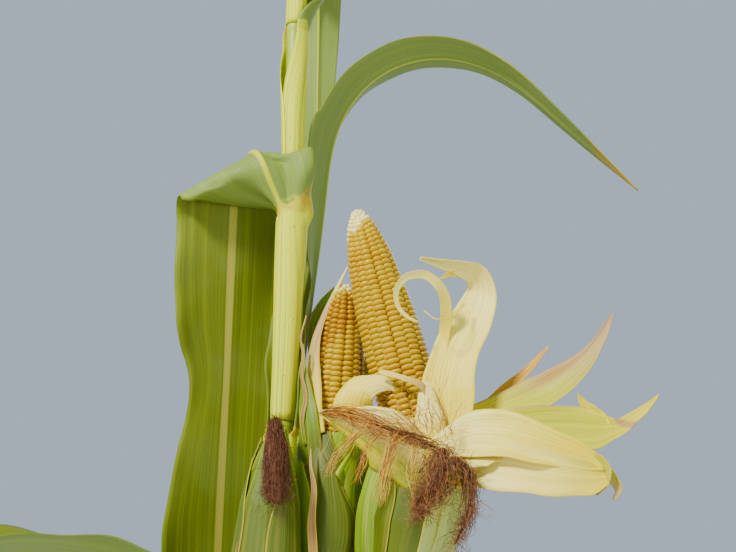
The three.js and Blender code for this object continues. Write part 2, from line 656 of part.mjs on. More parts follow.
const silkSolid = (silk, grow) =>
  limb(
    new THREE.CatmullRomCurve3(silk.path.map(vector), false, "catmullrom", 0.5),
    (along, turn) => readOff(silk.radius, along) * (1 + SILK_LOBES * Math.sin(3 * turn + 9 * along)) + grow,
    silk.sides,
    silk.steps,
  );

// Tassel: the spike and its branches, which rise from the foot of the spike and arch over
function tasselSpike(grow) {
  const foot = stemCentre(STEM_TOP);
  const curve = new THREE.CatmullRomCurve3([
    new THREE.Vector3(foot.x, foot.y, STEM_TOP + GAP),
    new THREE.Vector3(foot.x + 1, foot.y, STEM_TOP + 130),
    new THREE.Vector3(foot.x + 8, foot.y + 3, STEM_TOP + 240),
    new THREE.Vector3(foot.x + 26, foot.y + 8, TASSEL_TOP),
  ]);
  const outline = [[0, 3.3], [0.36, 3], [0.42, 5], [0.85, 4.4], [1, 1.6]];
  return limb(curve, (along) => readOff(outline, along) + grow, 6, 14);
}

function tasselBranch(index) {
  const share = index / (TASSEL_BRANCHES - 1);
  const foot = stemCentre(STEM_TOP);
  const turn = index * 2.4 + 0.5 * chance(index);
  const height = STEM_TOP + 12 + TASSEL_CROWN * share * 0.82;
  const length = mix(230, 130, share) + 14 * chance(index + 30);
  const lean = mix(66, 24, share) + 8 * chance(index + 60);
  const droop = mix(88, 30, share);
  const points = [];
  const walker = new THREE.Vector3(foot.x, foot.y, height);
  const steps = 8;
  for (let i = 0; i <= steps; i += 1) {
    points.push(walker.clone());
    const tilt = radians(lean * smooth(i + 2, 0, 4) + droop * (i / steps) ** 1.5);
    const forward = new THREE.Vector3(
      Math.sin(tilt) * Math.cos(turn),
      Math.sin(tilt) * Math.sin(turn),
      Math.cos(tilt),
    );
    walker.addScaledVector(forward, length / steps);
  }
  const curve = new THREE.CatmullRomCurve3(points);
  return limb(curve, (along) => mix(1.6, 3.4, smooth(along, 0.05, 0.3)) * (1 - 0.45 * along), 5, 8);
}

function build() {
  const plant = new THREE.Group();
  const place = (name, solid, colour, roughness = SATIN) => {
    plant.add(meshOf(name, largest(solid), colour, roughness));
  };

  const shanks = SHANKS.map((shank) => shankSolid(shank, 0));
  const wideShanks = SHANKS.map((shank) => shankSolid(shank, GAP));
  const stem = stemWithRoots();
  const stemAndGap = stemSolid(GAP);
  place("stem", stem, COLOURS.stem);

  for (const leaf of LEAVES) {
    const { sheath, tip } = leafSolids(leaf);
    const colour = leaf.dry ? COLOURS.dryLeaf : COLOURS.leaf;
    const crossed = leaf.node === EAR_NODE - 1 ? wideShanks : [];
    const cleared = crossed.reduce((kept, shank) => kept.subtract(shank), sheath);
    place(`leaf_${leaf.node}_base`, cleared, colour);
    place(`leaf_${leaf.node}_tip`, tip, colour);
  }

  const wideCobs = [RIGHT_EAR, LEFT_EAR].map((ear) => cobSolid(ear, GAP));
  const wideCups = [CUPS.right, CUPS.left].map((cup) => cupSolid(cup, GAP));
  place("ear_right", cobSolid(RIGHT_EAR, 0), COLOURS.kernel, GLOSSY);
  place("ear_left", cobSolid(LEFT_EAR, 0), COLOURS.kernel, GLOSSY);
  place("cup_right", cupSolid(CUPS.right, 0).subtract(wideCobs[0]), COLOURS.greenHusk);
  place("cup_left", cupSolid(CUPS.left, 0).subtract(wideCobs[1]), COLOURS.greenHusk);
  place("ear_closed", closedEarSolid(0), COLOURS.greenHusk);
  const roundShanks = [stemAndGap, ...wideCups, closedEarSolid(GAP)];
  SHANKS.forEach((shank, i) => {
    const cut = roundShanks.reduce((kept, other) => kept.subtract(other), shanks[i]);
    place(shank.name, cut, COLOURS.greenHusk);
  });

  const inTheWay = [...wideCobs, ...wideCups, closedEarSolid(GAP), ...wideShanks];
  for (const husk of HUSKS) {
    const cut = inTheWay.reduce((kept, other) => kept.subtract(other), huskSolid(husk, 0));
    place(husk.name, cut, husk.colour);
    inTheWay.push(huskSolid(husk, GAP));
  }
  for (const silk of SILKS) {
    const cut = inTheWay.reduce((kept, other) => kept.subtract(other), silkSolid(silk, 0));
    place(silk.name, cut, silk.colour, DULL);
    inTheWay.push(silkSolid(silk, GAP));
  }

  place("tassel_spike", tasselSpike(0), COLOURS.tassel, DULL);
  const clearance = tasselSpike(GAP);
  for (let i = 0; i < TASSEL_BRANCHES; i += 1) {
    place(`tassel_branch_${i + 1}`, tasselBranch(i).subtract(clearance), COLOURS.tassel, DULL);
  }
  return plant;
}

const plant = build();
plant.name = "maize_plant";

export default plant;
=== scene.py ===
"""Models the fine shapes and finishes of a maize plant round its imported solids.

Sizes are in millimetres until a mesh is placed. The origin is the centre of the stem at ground level, +X is
to the right and +Y away from a viewer who faces the opened ears.
"""

import math
import random

import bmesh
import bpy
import numpy as np
from bpy.props import FloatProperty, FloatVectorProperty, IntProperty, PointerProperty
from mathutils import Matrix, Vector


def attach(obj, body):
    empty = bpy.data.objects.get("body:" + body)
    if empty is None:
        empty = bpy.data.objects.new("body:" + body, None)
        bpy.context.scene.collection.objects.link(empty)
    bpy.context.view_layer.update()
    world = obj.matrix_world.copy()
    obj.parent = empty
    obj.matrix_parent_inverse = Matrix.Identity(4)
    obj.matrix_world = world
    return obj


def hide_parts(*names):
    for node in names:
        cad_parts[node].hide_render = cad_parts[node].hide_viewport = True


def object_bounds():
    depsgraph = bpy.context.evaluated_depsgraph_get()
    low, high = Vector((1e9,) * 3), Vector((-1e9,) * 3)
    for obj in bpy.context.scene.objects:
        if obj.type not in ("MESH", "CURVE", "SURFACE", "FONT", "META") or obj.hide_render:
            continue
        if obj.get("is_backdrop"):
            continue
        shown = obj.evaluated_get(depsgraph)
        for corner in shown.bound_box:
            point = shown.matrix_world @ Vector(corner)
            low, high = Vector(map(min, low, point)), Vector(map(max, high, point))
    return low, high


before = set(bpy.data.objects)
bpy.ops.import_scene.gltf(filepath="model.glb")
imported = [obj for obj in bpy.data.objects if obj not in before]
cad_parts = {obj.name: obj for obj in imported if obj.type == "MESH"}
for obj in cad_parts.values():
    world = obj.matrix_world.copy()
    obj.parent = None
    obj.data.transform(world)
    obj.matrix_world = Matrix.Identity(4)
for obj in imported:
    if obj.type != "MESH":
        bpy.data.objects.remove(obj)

bl_info = {
    "name": "Maize plant",
    "version": (1, 0, 0),
    "blender": (4, 5, 0),
    "location": "View3D > Sidebar > Maize",
    "description": "Models a maize plant in fruit, from its brace roots to its tassel",
    "category": "Object",
}

MM = 0.001
VIVID = 1.35  # how much stronger than their web codes the colours are laid on
SAME_PLACE = 1e-6  # two points nearer than this, in metres, are one
WELD = 1e-7  # metres within which the points of a seam are welded

# Stem: the height of each node, and the stem's radius at some heights
NODE_HEIGHTS = [22, 62, 128, 218, 338, 482, 646, 826, 1010, 1200, 1392, 1566, 1724, 1862]
STEM_TOP = 2130
STEM_RADII = [
    (0, 13.5), (600, 11.8), (1010, 9.8), (1200, 8.4), (1566, 7.2), (1862, 5.2), (STEM_TOP, 3.4),
]
STEM_LEAN = 16
STEM_ZIGZAG = 1.5
FIRST_LEAF_NODE = 4

# Brace roots: each whorl's node, number of roots, reach and radius, and a root's way down in shares of the
# reach and the height
BRACE_WHORLS = [(1, 7, 36, 2.6), (2, 8, 66, 3.1)]
BRACE_BENDS = [(0, 1), (0.45, 0.82), (0.82, 0.4)]

# Tassel: its top, and the height over which its branches stand
TASSEL_TOP = 2470
TASSEL_BRANCHES = 9
TASSEL_CROWN = 98.4

# Leaves: how the sheath clears the stem and overlaps, and how soon the blade opens out of the sheath's curve
GAP = 0.3
SHEATH_WALL = 1.2
SHEATH_SIDES = 8
SHEATH_FLARE = 3.6
SHEATH_START = 3
SHEATH_OPENS = 110
SHEATH_WRAP = 1.1
SHEATH_OVERLAP = 0.45
SHEATH_FOOT = 14
FLAG_INTERNODE = 150
UNROLL = 30
TROUGH_RADIUS = 150
WAVE_LENGTH = 210
SHOULDERS = 2.6
GROOVE_WIDTH = 3.2
RIB_WIDTH = 2.4
SHEATH_THICKNESS = 0.6
LEAF_GRID = (30, 170)


def lerp(a, b, share):
    return a + (b - a) * share


def clamp(value, low=0.0, high=1.0):
    return max(low, min(high, value))


def smooth(value, low, high):
    share = clamp((value - low) / (high - low))
    return share * share * (3 - 2 * share)


def read_off(pairs, place):
    """A value read off a list of (place, value) pairs in rising order, straight between them"""
    if place <= pairs[0][0]:
        return pairs[0][1]
    for (p0, v0), (p1, v1) in zip(pairs, pairs[1:]):
        if place <= p1:
            return lerp(v0, v1, (place - p0) / (p1 - p0))
    return pairs[-1][1]


def bell(offset, width):
    """1 where the offset is 0, falling away on both sides"""
    return math.exp(-(offset / width) ** 2)


def around(turn, first, second):
    """The direction at a turn from the first of two directions towards the second"""
    return math.cos(turn) * first + math.sin(turn) * second


def level(turn):
    return Vector((math.cos(turn), math.sin(turn), 0))


def tilted(tilt, turn):
    """A direction that leans from upright by the tilt, towards the turn"""
    return Vector((math.sin(tilt) * math.cos(turn), math.sin(tilt) * math.sin(turn), math.cos(tilt)))


def scatter(draw, *limits):
    """A random vector, each part of which is drawn with the same two limits"""
    return Vector([draw(*limits) for _ in range(3)])


def paint(code):
    """A colour written as a web code, in the linear form that shaders use"""
    parts = [(code >> shift & 255) / 255 for shift in (16, 8, 0)]
    plain = [p / 12.92 if p <= 0.04045 else ((p + 0.055) / 1.055) ** 2.4 for p in parts]
    grey = sum(plain) / 3
    return tuple(clamp(grey + VIVID * (p - grey)) for p in plain)


class Spine:
    """A smooth curve through points"""

    MEASURING_STEPS = 60
    NUDGE = 1e-3

    def __init__(self, points):
        self.points = [Vector(p) for p in points]
        self.ends = [2 * self.points[0] - self.points[1], *self.points, 2 * self.points[-1] - self.points[-2]]
        steps = [self.point(i / self.MEASURING_STEPS) for i in range(self.MEASURING_STEPS + 1)]
        self.length = sum((b - a).length for a, b in zip(steps, steps[1:]))

    def point(self, share):
        """The place a share of the way along, straight on past either end"""
        if share < 0 or share > 1:
            end = clamp(share)
            return self.point(end) + (share - end) * self.length * self.forward(end)
        place = share * (len(self.points) - 1)
        step = min(len(self.points) - 2, int(place))
        t = place - step
        a, b, c, d = self.ends[step:step + 4]
        return 0.5 * (2 * b + (c - a) * t + (2 * a - 5 * b + 4 * c - d) * t ** 2
                      + (3 * b - a - 3 * c + d) * t ** 3)

    def forward(self, share):
        low, high = max(0, share - self.NUDGE), min(1, share + self.NUDGE)
        return (self.point(high) - self.point(low)).normalized()


def square_frame(forward, towards):
    """Two directions square to forward, the first as near towards as it can be"""
    first = (towards - forward * towards.dot(forward)).normalized()
    return first, forward.cross(first)


# Meshes

MARGIN_SPREAD = 1.3  # above 1, a sheet's columns stand closer in its middle than at its margins
SEAM_SIDE = Vector((0.31, -0.9, 0.2))  # near this side a limb has its seam
THREAD_SIDES = 3
THREAD_TAPER = 0.55  # how much of its radius a thread loses to its end
THREAD_SIDE = Vector((0.2, 0.35, 0.9))  # near this side a thread has its first corner


def start_grid(name, columns, rows):
    """A flat grid, one unit each way, as the start of a sheet or a tube"""
    bpy.ops.object.select_all(action="DESELECT")
    bpy.ops.mesh.primitive_grid_add(x_subdivisions=columns, y_subdivisions=rows, size=1, location=(0, 0, 0))
    piece = bpy.context.object
    piece.name = name
    piece.data.name = name
    piece.data.uv_layers[0].name = "run"
    return piece


def write_run(mesh, runs):
    """Stores each vertex's (place across, metres along) as the run of the pattern"""
    layer = mesh.uv_layers["run"].data
    for loop in mesh.loops:
        layer[loop.index].uv = runs[loop.vertex_index]


def write_values(mesh, name, values):
    attribute = mesh.attributes.get(name) or mesh.attributes.new(name, "FLOAT", "POINT")
    attribute.data.foreach_set("value", values)


def finish_piece(piece, finishes, slot, nodes=()):
    """Gives a piece its finishes, its body and the solids that it stands for"""
    for finish in finishes:
        piece.data.materials.append(finish)
    bpy.ops.object.select_all(action="DESELECT")
    bpy.context.view_layer.objects.active = piece
    piece.select_set(True)
    bpy.ops.object.shade_smooth()
    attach(piece, "root")
    if nodes:
        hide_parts(*nodes)


def sheet(name, surface, grid, thickness, run_of, thickest, age):
    """A thin closed sheet. surface(u, v) gives its upper side for u from 0 to 1 along and v from -1 to 1
    across, thickness(u, v) its thickness, run_of(u) the metres along, and age(u, v) how withered it is."""
    piece = start_grid(name, *grid)
    mesh = piece.data
    places, runs, ages, weights = [], [], [], []
    for vertex in mesh.vertices:
        across = -2 * vertex.co.x
        u, v = vertex.co.y + 0.5, math.copysign(abs(across) ** MARGIN_SPREAD, across)
        places.append(surface(u, v) * MM)
        runs.append((v, run_of(u)))
        ages.append(age(u, v))
        weights.append(thickness(u, v) / thickest)
    for vertex, place in zip(mesh.vertices, places):
        vertex.co = place
    write_run(mesh, runs)
    write_values(mesh, "age", ages)
    wall = piece.vertex_groups.new(name="wall")
    for index, weight in enumerate(weights):
        wall.add([index], weight, "REPLACE")
    modifier = piece.modifiers.new("Wall", "SOLIDIFY")
    modifier.thickness = thickest * MM
    modifier.offset = -1
    modifier.vertex_group = wall.name
    modifier.thickness_vertex_group = 0
    modifier.use_quality_normals = True
    bpy.ops.object.modifier_apply(modifier=modifier.name)
    piece.vertex_groups.clear()
    count = len(places)
    first_is_upper = (mesh.vertices[0].co - places[0]).length < SAME_PLACE
    sides = [float((index < count) == first_is_upper) for index in range(len(mesh.vertices))]
    write_values(mesh, "side", sides)
    return piece


def close_tube(piece):
    """Welds a rolled grid along its seam, closes its ends and turns its faces out"""
    shape = bmesh.new()
    shape.from_mesh(piece.data)
    bmesh.ops.remove_doubles(shape, verts=shape.verts, dist=WELD)
    bmesh.ops.holes_fill(shape, edges=shape.edges, sides=0)
    bmesh.ops.recalc_face_normals(shape, faces=shape.faces)
    shape.to_mesh(piece.data)
    shape.free()


def tube(name, place, sides, steps, run_of):
    """A closed tube. place(u, turn) gives its surface for u from 0 to 1 along and a turn in radians"""
    piece = start_grid(name, sides, steps)
    mesh = piece.data
    runs = []
    for vertex in mesh.vertices:
        u, share = vertex.co.y + 0.5, vertex.co.x + 0.5
        runs.append((share, run_of(u)))
        vertex.co = place(u, 2 * math.pi * share) * MM
    write_run(mesh, runs)
    write_values(mesh, "age", [0.0] * len(mesh.vertices))
    close_tube(piece)
    return piece


def limb(name, spine, radius, sides, steps):
    """A round limb along a spine, with its radius a function of the share along and the turn"""
    frames = []
    first = square_frame(spine.forward(0), SEAM_SIDE)[0]
    for step in range(steps + 1):
        first, second = square_frame(spine.forward(step / steps), first)
        frames.append((first, second))

    def place(u, turn):
        return spine.point(u) + radius(u, turn) * around(turn, *frames[round(u * steps)])

    return tube(name, place, sides, steps, lambda u: u * spine.length * MM)


def add_piece(name, points, faces, kinds):
    """A new object from its points in metres, its faces and the finish of each face"""
    mesh = bpy.data.meshes.new(name)
    mesh.from_pydata(points, [], faces)
    mesh.polygons.foreach_set("material_index", kinds)
    piece = bpy.data.objects.new(name, mesh)
    bpy.context.scene.collection.objects.link(piece)
    return piece


def placed(place, directions, sizes):
    """The matrix that turns a pattern to three directions, gives it three sizes and sets it down"""
    size = Matrix.Diagonal((*[size * MM for size in sizes], 1))
    return Matrix.Translation(place * MM) @ Matrix(directions).transposed().to_4x4() @ size


def copies(name, pattern, matrices, shades):
    """One mesh that holds a copy of a pattern mesh for each matrix, with that copy's finish"""
    count = len(pattern.vertices)
    corners = np.array([tuple(v.co) for v in pattern.vertices])
    faces = [tuple(face.vertices) for face in pattern.polygons]
    points = [corners @ np.array(m.to_3x3()).T + np.array(m.translation) for m in matrices]
    return add_piece(
        name, np.concatenate(points).tolist(),
        [tuple(i + n * count for i in face) for n in range(len(matrices)) for face in faces],
        [shade for shade in shades for _ in faces],
    )


def threads(name, routes, radius, shades):
    """Many thin threads as one mesh. Each route is a list of points in millimetres."""
    points, faces, kinds = [], [], []
    for route, shade in zip(routes, shades):
        start = len(points)
        last = len(route) - 1
        for i, point in enumerate(route):
            forward = (route[min(i + 1, last)] - route[max(i - 1, 0)]).normalized()
            first, second = square_frame(forward, THREAD_SIDE)
            r = radius * (1 - THREAD_TAPER * i / last)
            for corner in range(THREAD_SIDES):
                turn = 2 * math.pi * corner / THREAD_SIDES
                points.append((point + r * around(turn, first, second)) * MM)
        for i in range(last):
            a = start + THREAD_SIDES * i
            b = a + THREAD_SIDES
            for corner in range(THREAD_SIDES):
                after = (corner + 1) % THREAD_SIDES
                faces.append((a + corner, a + after, b + after, b + corner))
        end = start + THREAD_SIDES * last
        faces.append(tuple(reversed(range(start, start + THREAD_SIDES))))
        faces.append(tuple(range(end, end + THREAD_SIDES)))
        kinds += [shade] * (THREAD_SIDES * last + 2)
    return add_piece(name, points, faces, kinds)


# Finishes

# Numbers of sockets: the colour Mix node's, and the outputs of Texture Coordinate and Attribute
MIX_SHARE, MIX_A, MIX_B, MIX_RESULT = 0, 6, 7, 2
OBJECT_PLACE = 3
ATTRIBUTE_VALUE = 2
CLOUD_ROUGHNESS = 0.55


class Finish:
    """A node material, put together one node at a time"""

    def __init__(self, name, roughness, specular):
        self.made = bpy.data.materials.new(name)
        self.made.use_nodes = True
        self.tree = self.made.node_tree
        self.shader = self.tree.nodes["Principled BSDF"]
        self.shader.inputs["Roughness"].default_value = roughness
        self.shader.inputs["Specular IOR Level"].default_value = specular
        self.across = self.along = None

    def node(self, kind, inputs, output=0, **settings):
        made = self.tree.nodes.new(kind)
        for key, value in settings.items():
            setattr(made, key, value)
        for key, value in inputs.items():
            self.put(made.inputs[key], value)
        return made.outputs[output]

    def put(self, socket, value):
        if isinstance(value, bpy.types.NodeSocket):
            self.tree.links.new(value, socket)
        elif socket.type == "RGBA":
            socket.default_value = (*value[:3], 1)
        else:
            socket.default_value = value

    def sum(self, operation, *values):
        return self.node("ShaderNodeMath", dict(enumerate(values)), operation=operation)

    def run(self):
        """Reads the place across and the metres along from the piece's own map"""
        uv = self.node("ShaderNodeUVMap", {}, uv_map="run")
        split = self.tree.nodes.new("ShaderNodeSeparateXYZ")
        self.tree.links.new(uv, split.inputs[0])
        self.across, self.along = split.outputs[0], split.outputs[1]

    def read(self, name):
        return self.node("ShaderNodeAttribute", {}, ATTRIBUTE_VALUE, attribute_name=name)

    def streaks(self, wide, long, detail, offset=0.0):
        """Noise drawn out along the piece: wide and long are how often it changes across and along"""
        place = self.node("ShaderNodeCombineXYZ", {
            0: self.sum("MULTIPLY", self.across, wide),
            1: self.sum("MULTIPLY", self.along, long),
            2: offset,
        })
        return self.node("ShaderNodeTexNoise", {"Vector": place, "Scale": 1.0, "Detail": detail})

    def cloud(self, scale, detail=3.0):
        place = self.node("ShaderNodeTexCoord", {}, OBJECT_PLACE)
        return self.node("ShaderNodeTexNoise", {
            "Vector": place, "Scale": scale, "Detail": detail, "Roughness": CLOUD_ROUGHNESS,
        })

    def ease(self, value, low, high, to_low=0.0, to_high=1.0):
        """Goes smoothly from to_low to to_high while the value goes from low to high"""
        return self.node("ShaderNodeMapRange", {
            "Value": value, "From Min": low, "From Max": high, "To Min": to_low, "To Max": to_high,
        }, interpolation_type="SMOOTHSTEP")

    def blend(self, share, a, b, kind="MIX"):
        mixer = self.tree.nodes.new("ShaderNodeMix")
        mixer.data_type = "RGBA"
        mixer.blend_type = kind
        self.put(mixer.inputs[MIX_SHARE], share)
        self.put(mixer.inputs[MIX_A], a)
        self.put(mixer.inputs[MIX_B], b)
        return mixer.outputs[MIX_RESULT]

    def ribbed(self, fine, lines, share):
        """Heights for a bump: fine streaks, and a share of even lines that run along the piece"""
        waves = self.sum("SINE", self.sum("MULTIPLY", self.across, lines))
        return self.sum("ADD", self.sum("MULTIPLY", waves, share), fine)

    def done(self, colour, height, depth, strength):
        self.put(self.shader.inputs["Base Color"], colour)
        bump = self.node("ShaderNodeBump", {"Height": height, "Strength": strength, "Distance": depth})
        self.put(self.shader.inputs["Normal"], bump)
        return self.made


# A leaf's pattern: places along are in metres from the collar, and places across are shares of the half width
RIB_SLIMS = (0.0, 0.12, 0.13, 0.078)  # from where to where the rib slims, and its half width at both
RIB_EDGE = (-0.025, 0.012)
UNDERSIDE_RIB = 0.4  # how wide the rib looks on the underside, as a share of what it is above
COLLAR = 0.002
COLLAR_EDGE = (-0.003, 0.002)
SHEATH_TO_BLADE = (-0.004, 0.003)
VEIN_LINES = 95.0


def leaf_finish(name, look, seed, dry):
    """Blade and sheath: veins along it, a pale rib, two different sides, painted patches of light and shade,
    and withered parts
    """
    finish = Finish(name, 0.6, 0.25)
    finish.run()
    side = finish.read("side")
    age = finish.read("age")
    fine = finish.streaks(46, 5, 4.0, seed)
    broad = finish.streaks(9, 2.2, 2.0, seed + 3)
    width = finish.sum("ABSOLUTE", finish.across)
    blade = finish.blend(side, look.lower, look.upper)
    blade = finish.blend(finish.ease(broad, 0.42, 0.72, 0, 0.3), blade, look.young)
    # Painted light and shade: cloudy patches of the underside green laid over the blade as lit patches
    blade = finish.blend(finish.ease(finish.cloud(16, 2.0), 0.4, 0.7, 0, 0.3), blade, look.lower)
    blade = finish.blend(finish.ease(fine, 0.36, 0.68, 0.26, 0), blade, look.shade, "MULTIPLY")
    rib_half = finish.ease(finish.along, *RIB_SLIMS)
    rib_half = finish.sum("MULTIPLY", rib_half, finish.ease(side, 0, 1, UNDERSIDE_RIB, 1))
    rib = finish.ease(finish.sum("SUBTRACT", width, rib_half), *RIB_EDGE, 1, 0)
    blade = finish.blend(finish.sum("MULTIPLY", rib, 0.85), blade, finish.blend(side, look.keel, look.rib))
    streaked = finish.ease(finish.streaks(60, 3, 4.0, seed + 5), 0.35, 0.7)
    sheath = finish.blend(streaked, look.sheath, look.young)
    greener = finish.ease(finish.streaks(16, 1.5, 2.0, seed), 0.45, 0.75, 0, 0.5)
    sheath = finish.blend(greener, sheath, look.lower)
    spots = finish.ease(finish.cloud(260, 1.0), 0.72, 0.76, 0, 0.6)
    sheath = finish.blend(spots, sheath, look.withered)
    colour = finish.blend(finish.ease(finish.along, *SHEATH_TO_BLADE), sheath, blade)
    near_collar = finish.sum("ABSOLUTE", finish.sum("SUBTRACT", finish.along, COLLAR))
    wander = finish.ease(finish.cloud(90, 2.0), 0.3, 0.7, 0.0, 0.007)
    wander = finish.sum("ADD", wander, finish.ease(finish.across, 0.5, 1.0, 0, 0.006))
    collar = finish.ease(finish.sum("SUBTRACT", near_collar, wander), *COLLAR_EDGE, 0.85, 0)
    band = finish.blend(finish.ease(finish.cloud(60, 3.0), 0.38, 0.72), look.keel, look.collar)
    colour = finish.blend(collar, colour, band)
    patches = finish.streaks(12, 9, 4.0, seed + 9)
    if dry:
        worn = finish.ease(patches, 0.2, 0.6, 0.7, 1.0)
    else:
        worn = finish.sum("ADD", age, finish.ease(patches, 0.3, 0.75, -0.35, 0.3))
    tan = finish.blend(finish.ease(fine, 0.35, 0.65), look.withered, look.rib)
    colour = finish.blend(finish.ease(worn, 0.25, 0.7), colour, tan)
    return finish.done(colour, finish.ribbed(fine, VEIN_LINES, 0.12), 0.0005, 0.35)


HUSK_LINES = 2.4  # even lines in a husk's bump, for each of its veins
HUSK_MARGIN = (0.92, 0.99)
LIGHT_HALF = (-0.3, 0.3)


def husk_finish(name, colours, look, seed, lengths, veins, patches=0.25, light=0):
    """A husk: long veins, three colours from its foot to its tip, and dry brown edges. The lengths are the
    metres along at which it has the second and the third colour, and light, 1 or -1, is its paler half."""
    finish = Finish(name, 0.5, 0.35)
    finish.run()
    foot, middle, tip = colours
    age = finish.read("age")
    fine = finish.streaks(veins, 6, 4.0, seed)
    broad = finish.streaks(5, 9, 2.0, seed + 2)
    colour = finish.blend(finish.ease(finish.along, 0.0, lengths[0]), foot, middle)
    colour = finish.blend(finish.ease(finish.along, *lengths), colour, tip)
    colour = finish.blend(finish.ease(fine, 0.38, 0.66, 0.45, 0), colour, look.vein, "MULTIPLY")
    colour = finish.blend(finish.ease(broad, 0.5, 0.75, 0, patches), colour, look.blush)
    margin = finish.ease(finish.sum("ABSOLUTE", finish.across), *HUSK_MARGIN, 0, 0.4)
    colour = finish.blend(margin, colour, look.cream)
    if light:
        half = finish.ease(finish.sum("MULTIPLY", finish.across, light), *LIGHT_HALF, 0, 0.85)
        colour = finish.blend(half, colour, look.white)
    colour = finish.blend(finish.ease(age, 0.2, 0.9), colour, look.brown)
    return finish.done(colour, finish.ribbed(fine, HUSK_LINES * veins, 0.22), 0.0005, 0.4)


def plain_finish(name, colour, roughness, other=None, scale=120.0, depth=0.0002, specular=0.5):
    """A colour that drifts towards another, or a darker one, over a small distance, with a little grain"""
    finish = Finish(name, roughness, specular)
    cloud = finish.cloud(scale)
    blended = finish.blend(finish.ease(cloud, 0.3, 0.7), colour, other or [c * 0.7 for c in colour])
    return finish.done(blended, finish.cloud(scale * 4), depth, 0.5)


WARM_GLINT = (1, 0.78, 0.2, 1)
DEEPENED = (0.98, 0.95, 0.6)  # what a kernel's colour is multiplied by where it is deepest


def kernel_finish(name, colour):
    """Waxy kernel: a colour that deepens in places, with yellow highlights"""
    finish = Finish(name, 0.16, 0.5)
    finish.shader.inputs["Specular Tint"].default_value = WARM_GLINT
    deep = [part * share for part, share in zip(colour, DEEPENED)]
    blended = finish.blend(finish.ease(finish.cloud(160, 2.0), 0.35, 0.65), colour, deep)
    return finish.done(blended, finish.cloud(900, 2.0), 0.0001, 0.3)


# Stem

# Each relief: how far it stands out or goes in, its width, and how far the scar is above its node
RING_OUT, RING_WIDTH = 1.3, 3.2
SCAR_IN, SCAR_WIDTH, SCAR_ABOVE = 0.5, 2.5, 7
FURROW_IN, FURROW_WIDTH = 0.5, 0.35
STEM_GRID = (40, 620)
BRACE_GRID = (10, 16)


def stem_centre(z):
    swings = [
        (height, 0 if index < FIRST_LEAF_NODE - 1 else STEM_ZIGZAG * (-1) ** index)
        for index, height in enumerate(NODE_HEIGHTS)
    ]
    lean = STEM_LEAN * (z / TASSEL_TOP) ** 3
    return Vector((lean + read_off(swings, z), 0.4 * lean, z))


def stem_radius(z):
    return read_off(STEM_RADII, z)


def stem_surface(u, turn):
    """The jointed stem: a ring at each node, a scar above it, and a shallow furrow up each internode"""
    z = u * STEM_TOP
    r = stem_radius(z)
    for index, height in enumerate(NODE_HEIGHTS):
        r += RING_OUT * bell(z - height, RING_WIDTH) - SCAR_IN * bell(z - height - SCAR_ABOVE, SCAR_WIDTH)
        if height < z:
            above = index
    if z > NODE_HEIGHTS[0]:
        facing = math.pi * (above % 2)
        r -= FURROW_IN * bell(math.remainder(turn - facing, 2 * math.pi), FURROW_WIDTH)
    centre = stem_centre(z)
    return centre + Vector((r * math.cos(turn), r * math.sin(turn), 0))


def brace_root(whorl, index, rng):
    node, count, reach, radius = whorl
    turn = (index + 0.3 * rng.uniform(-1, 1)) / count * 2 * math.pi + node
    height = NODE_HEIGHTS[node - 1]
    inside = stem_radius(height) - 3
    bends = [(lerp(inside, reach, out), height * up) for out, up in BRACE_BENDS] + [(reach * 0.98, 0.4)]
    spine = Spine([Vector((r * math.cos(turn), r * math.sin(turn), z)) for r, z in bends])
    rough = rng.uniform(0, 9)
    return limb(
        f"brace_root_{node}_{index}", spine,
        lambda u, t: radius * (1 - 0.15 * u) * (1 + 0.07 * math.sin(3 * t + 30 * u + rough)), *BRACE_GRID,
    )


def join(name, pieces):
    bpy.ops.object.select_all(action="DESELECT")
    for piece in pieces:
        piece.select_set(True)
    bpy.context.view_layer.objects.active = pieces[0]
    bpy.ops.object.join()
    whole = bpy.context.object
    whole.name = name
    whole.data.name = name
    return whole


def stem_finish(look):
    """Streaked green above the ground, with a purple tinge on the lowest joints"""
    finish = Finish("stem", 0.45, 0.4)
    finish.run()
    fine = finish.streaks(80, 5, 4.0)
    colour = finish.blend(finish.ease(fine, 0.35, 0.7), look.green, [c * 0.75 for c in look.green])
    low = finish.ease(finish.along, 0.03, 0.42, 0.75, 0)
    patchy = finish.sum("MULTIPLY", low, finish.ease(finish.cloud(30), 0.3, 0.6))
    return finish.done(finish.blend(patchy, colour, look.purple), fine, 0.0005, 0.6)


def make_stem(look):
    rng = random.Random(5)
    stalk = tube("stem", stem_surface, *STEM_GRID, lambda u: u * STEM_TOP * MM)
    roots = [brace_root(whorl, i, rng) for whorl in BRACE_WHORLS for i in range(whorl[1])]
    stalk.data.materials.append(stem_finish(look))
    bark = plain_finish("brace root", look.purple, 0.7, look.green, 60, 0.0006)
    for root in roots:
        root.data.materials.append(bark)
    finish_piece(join("stem", [stalk, *roots]), [], "stem", ("stem",))


# Leaves

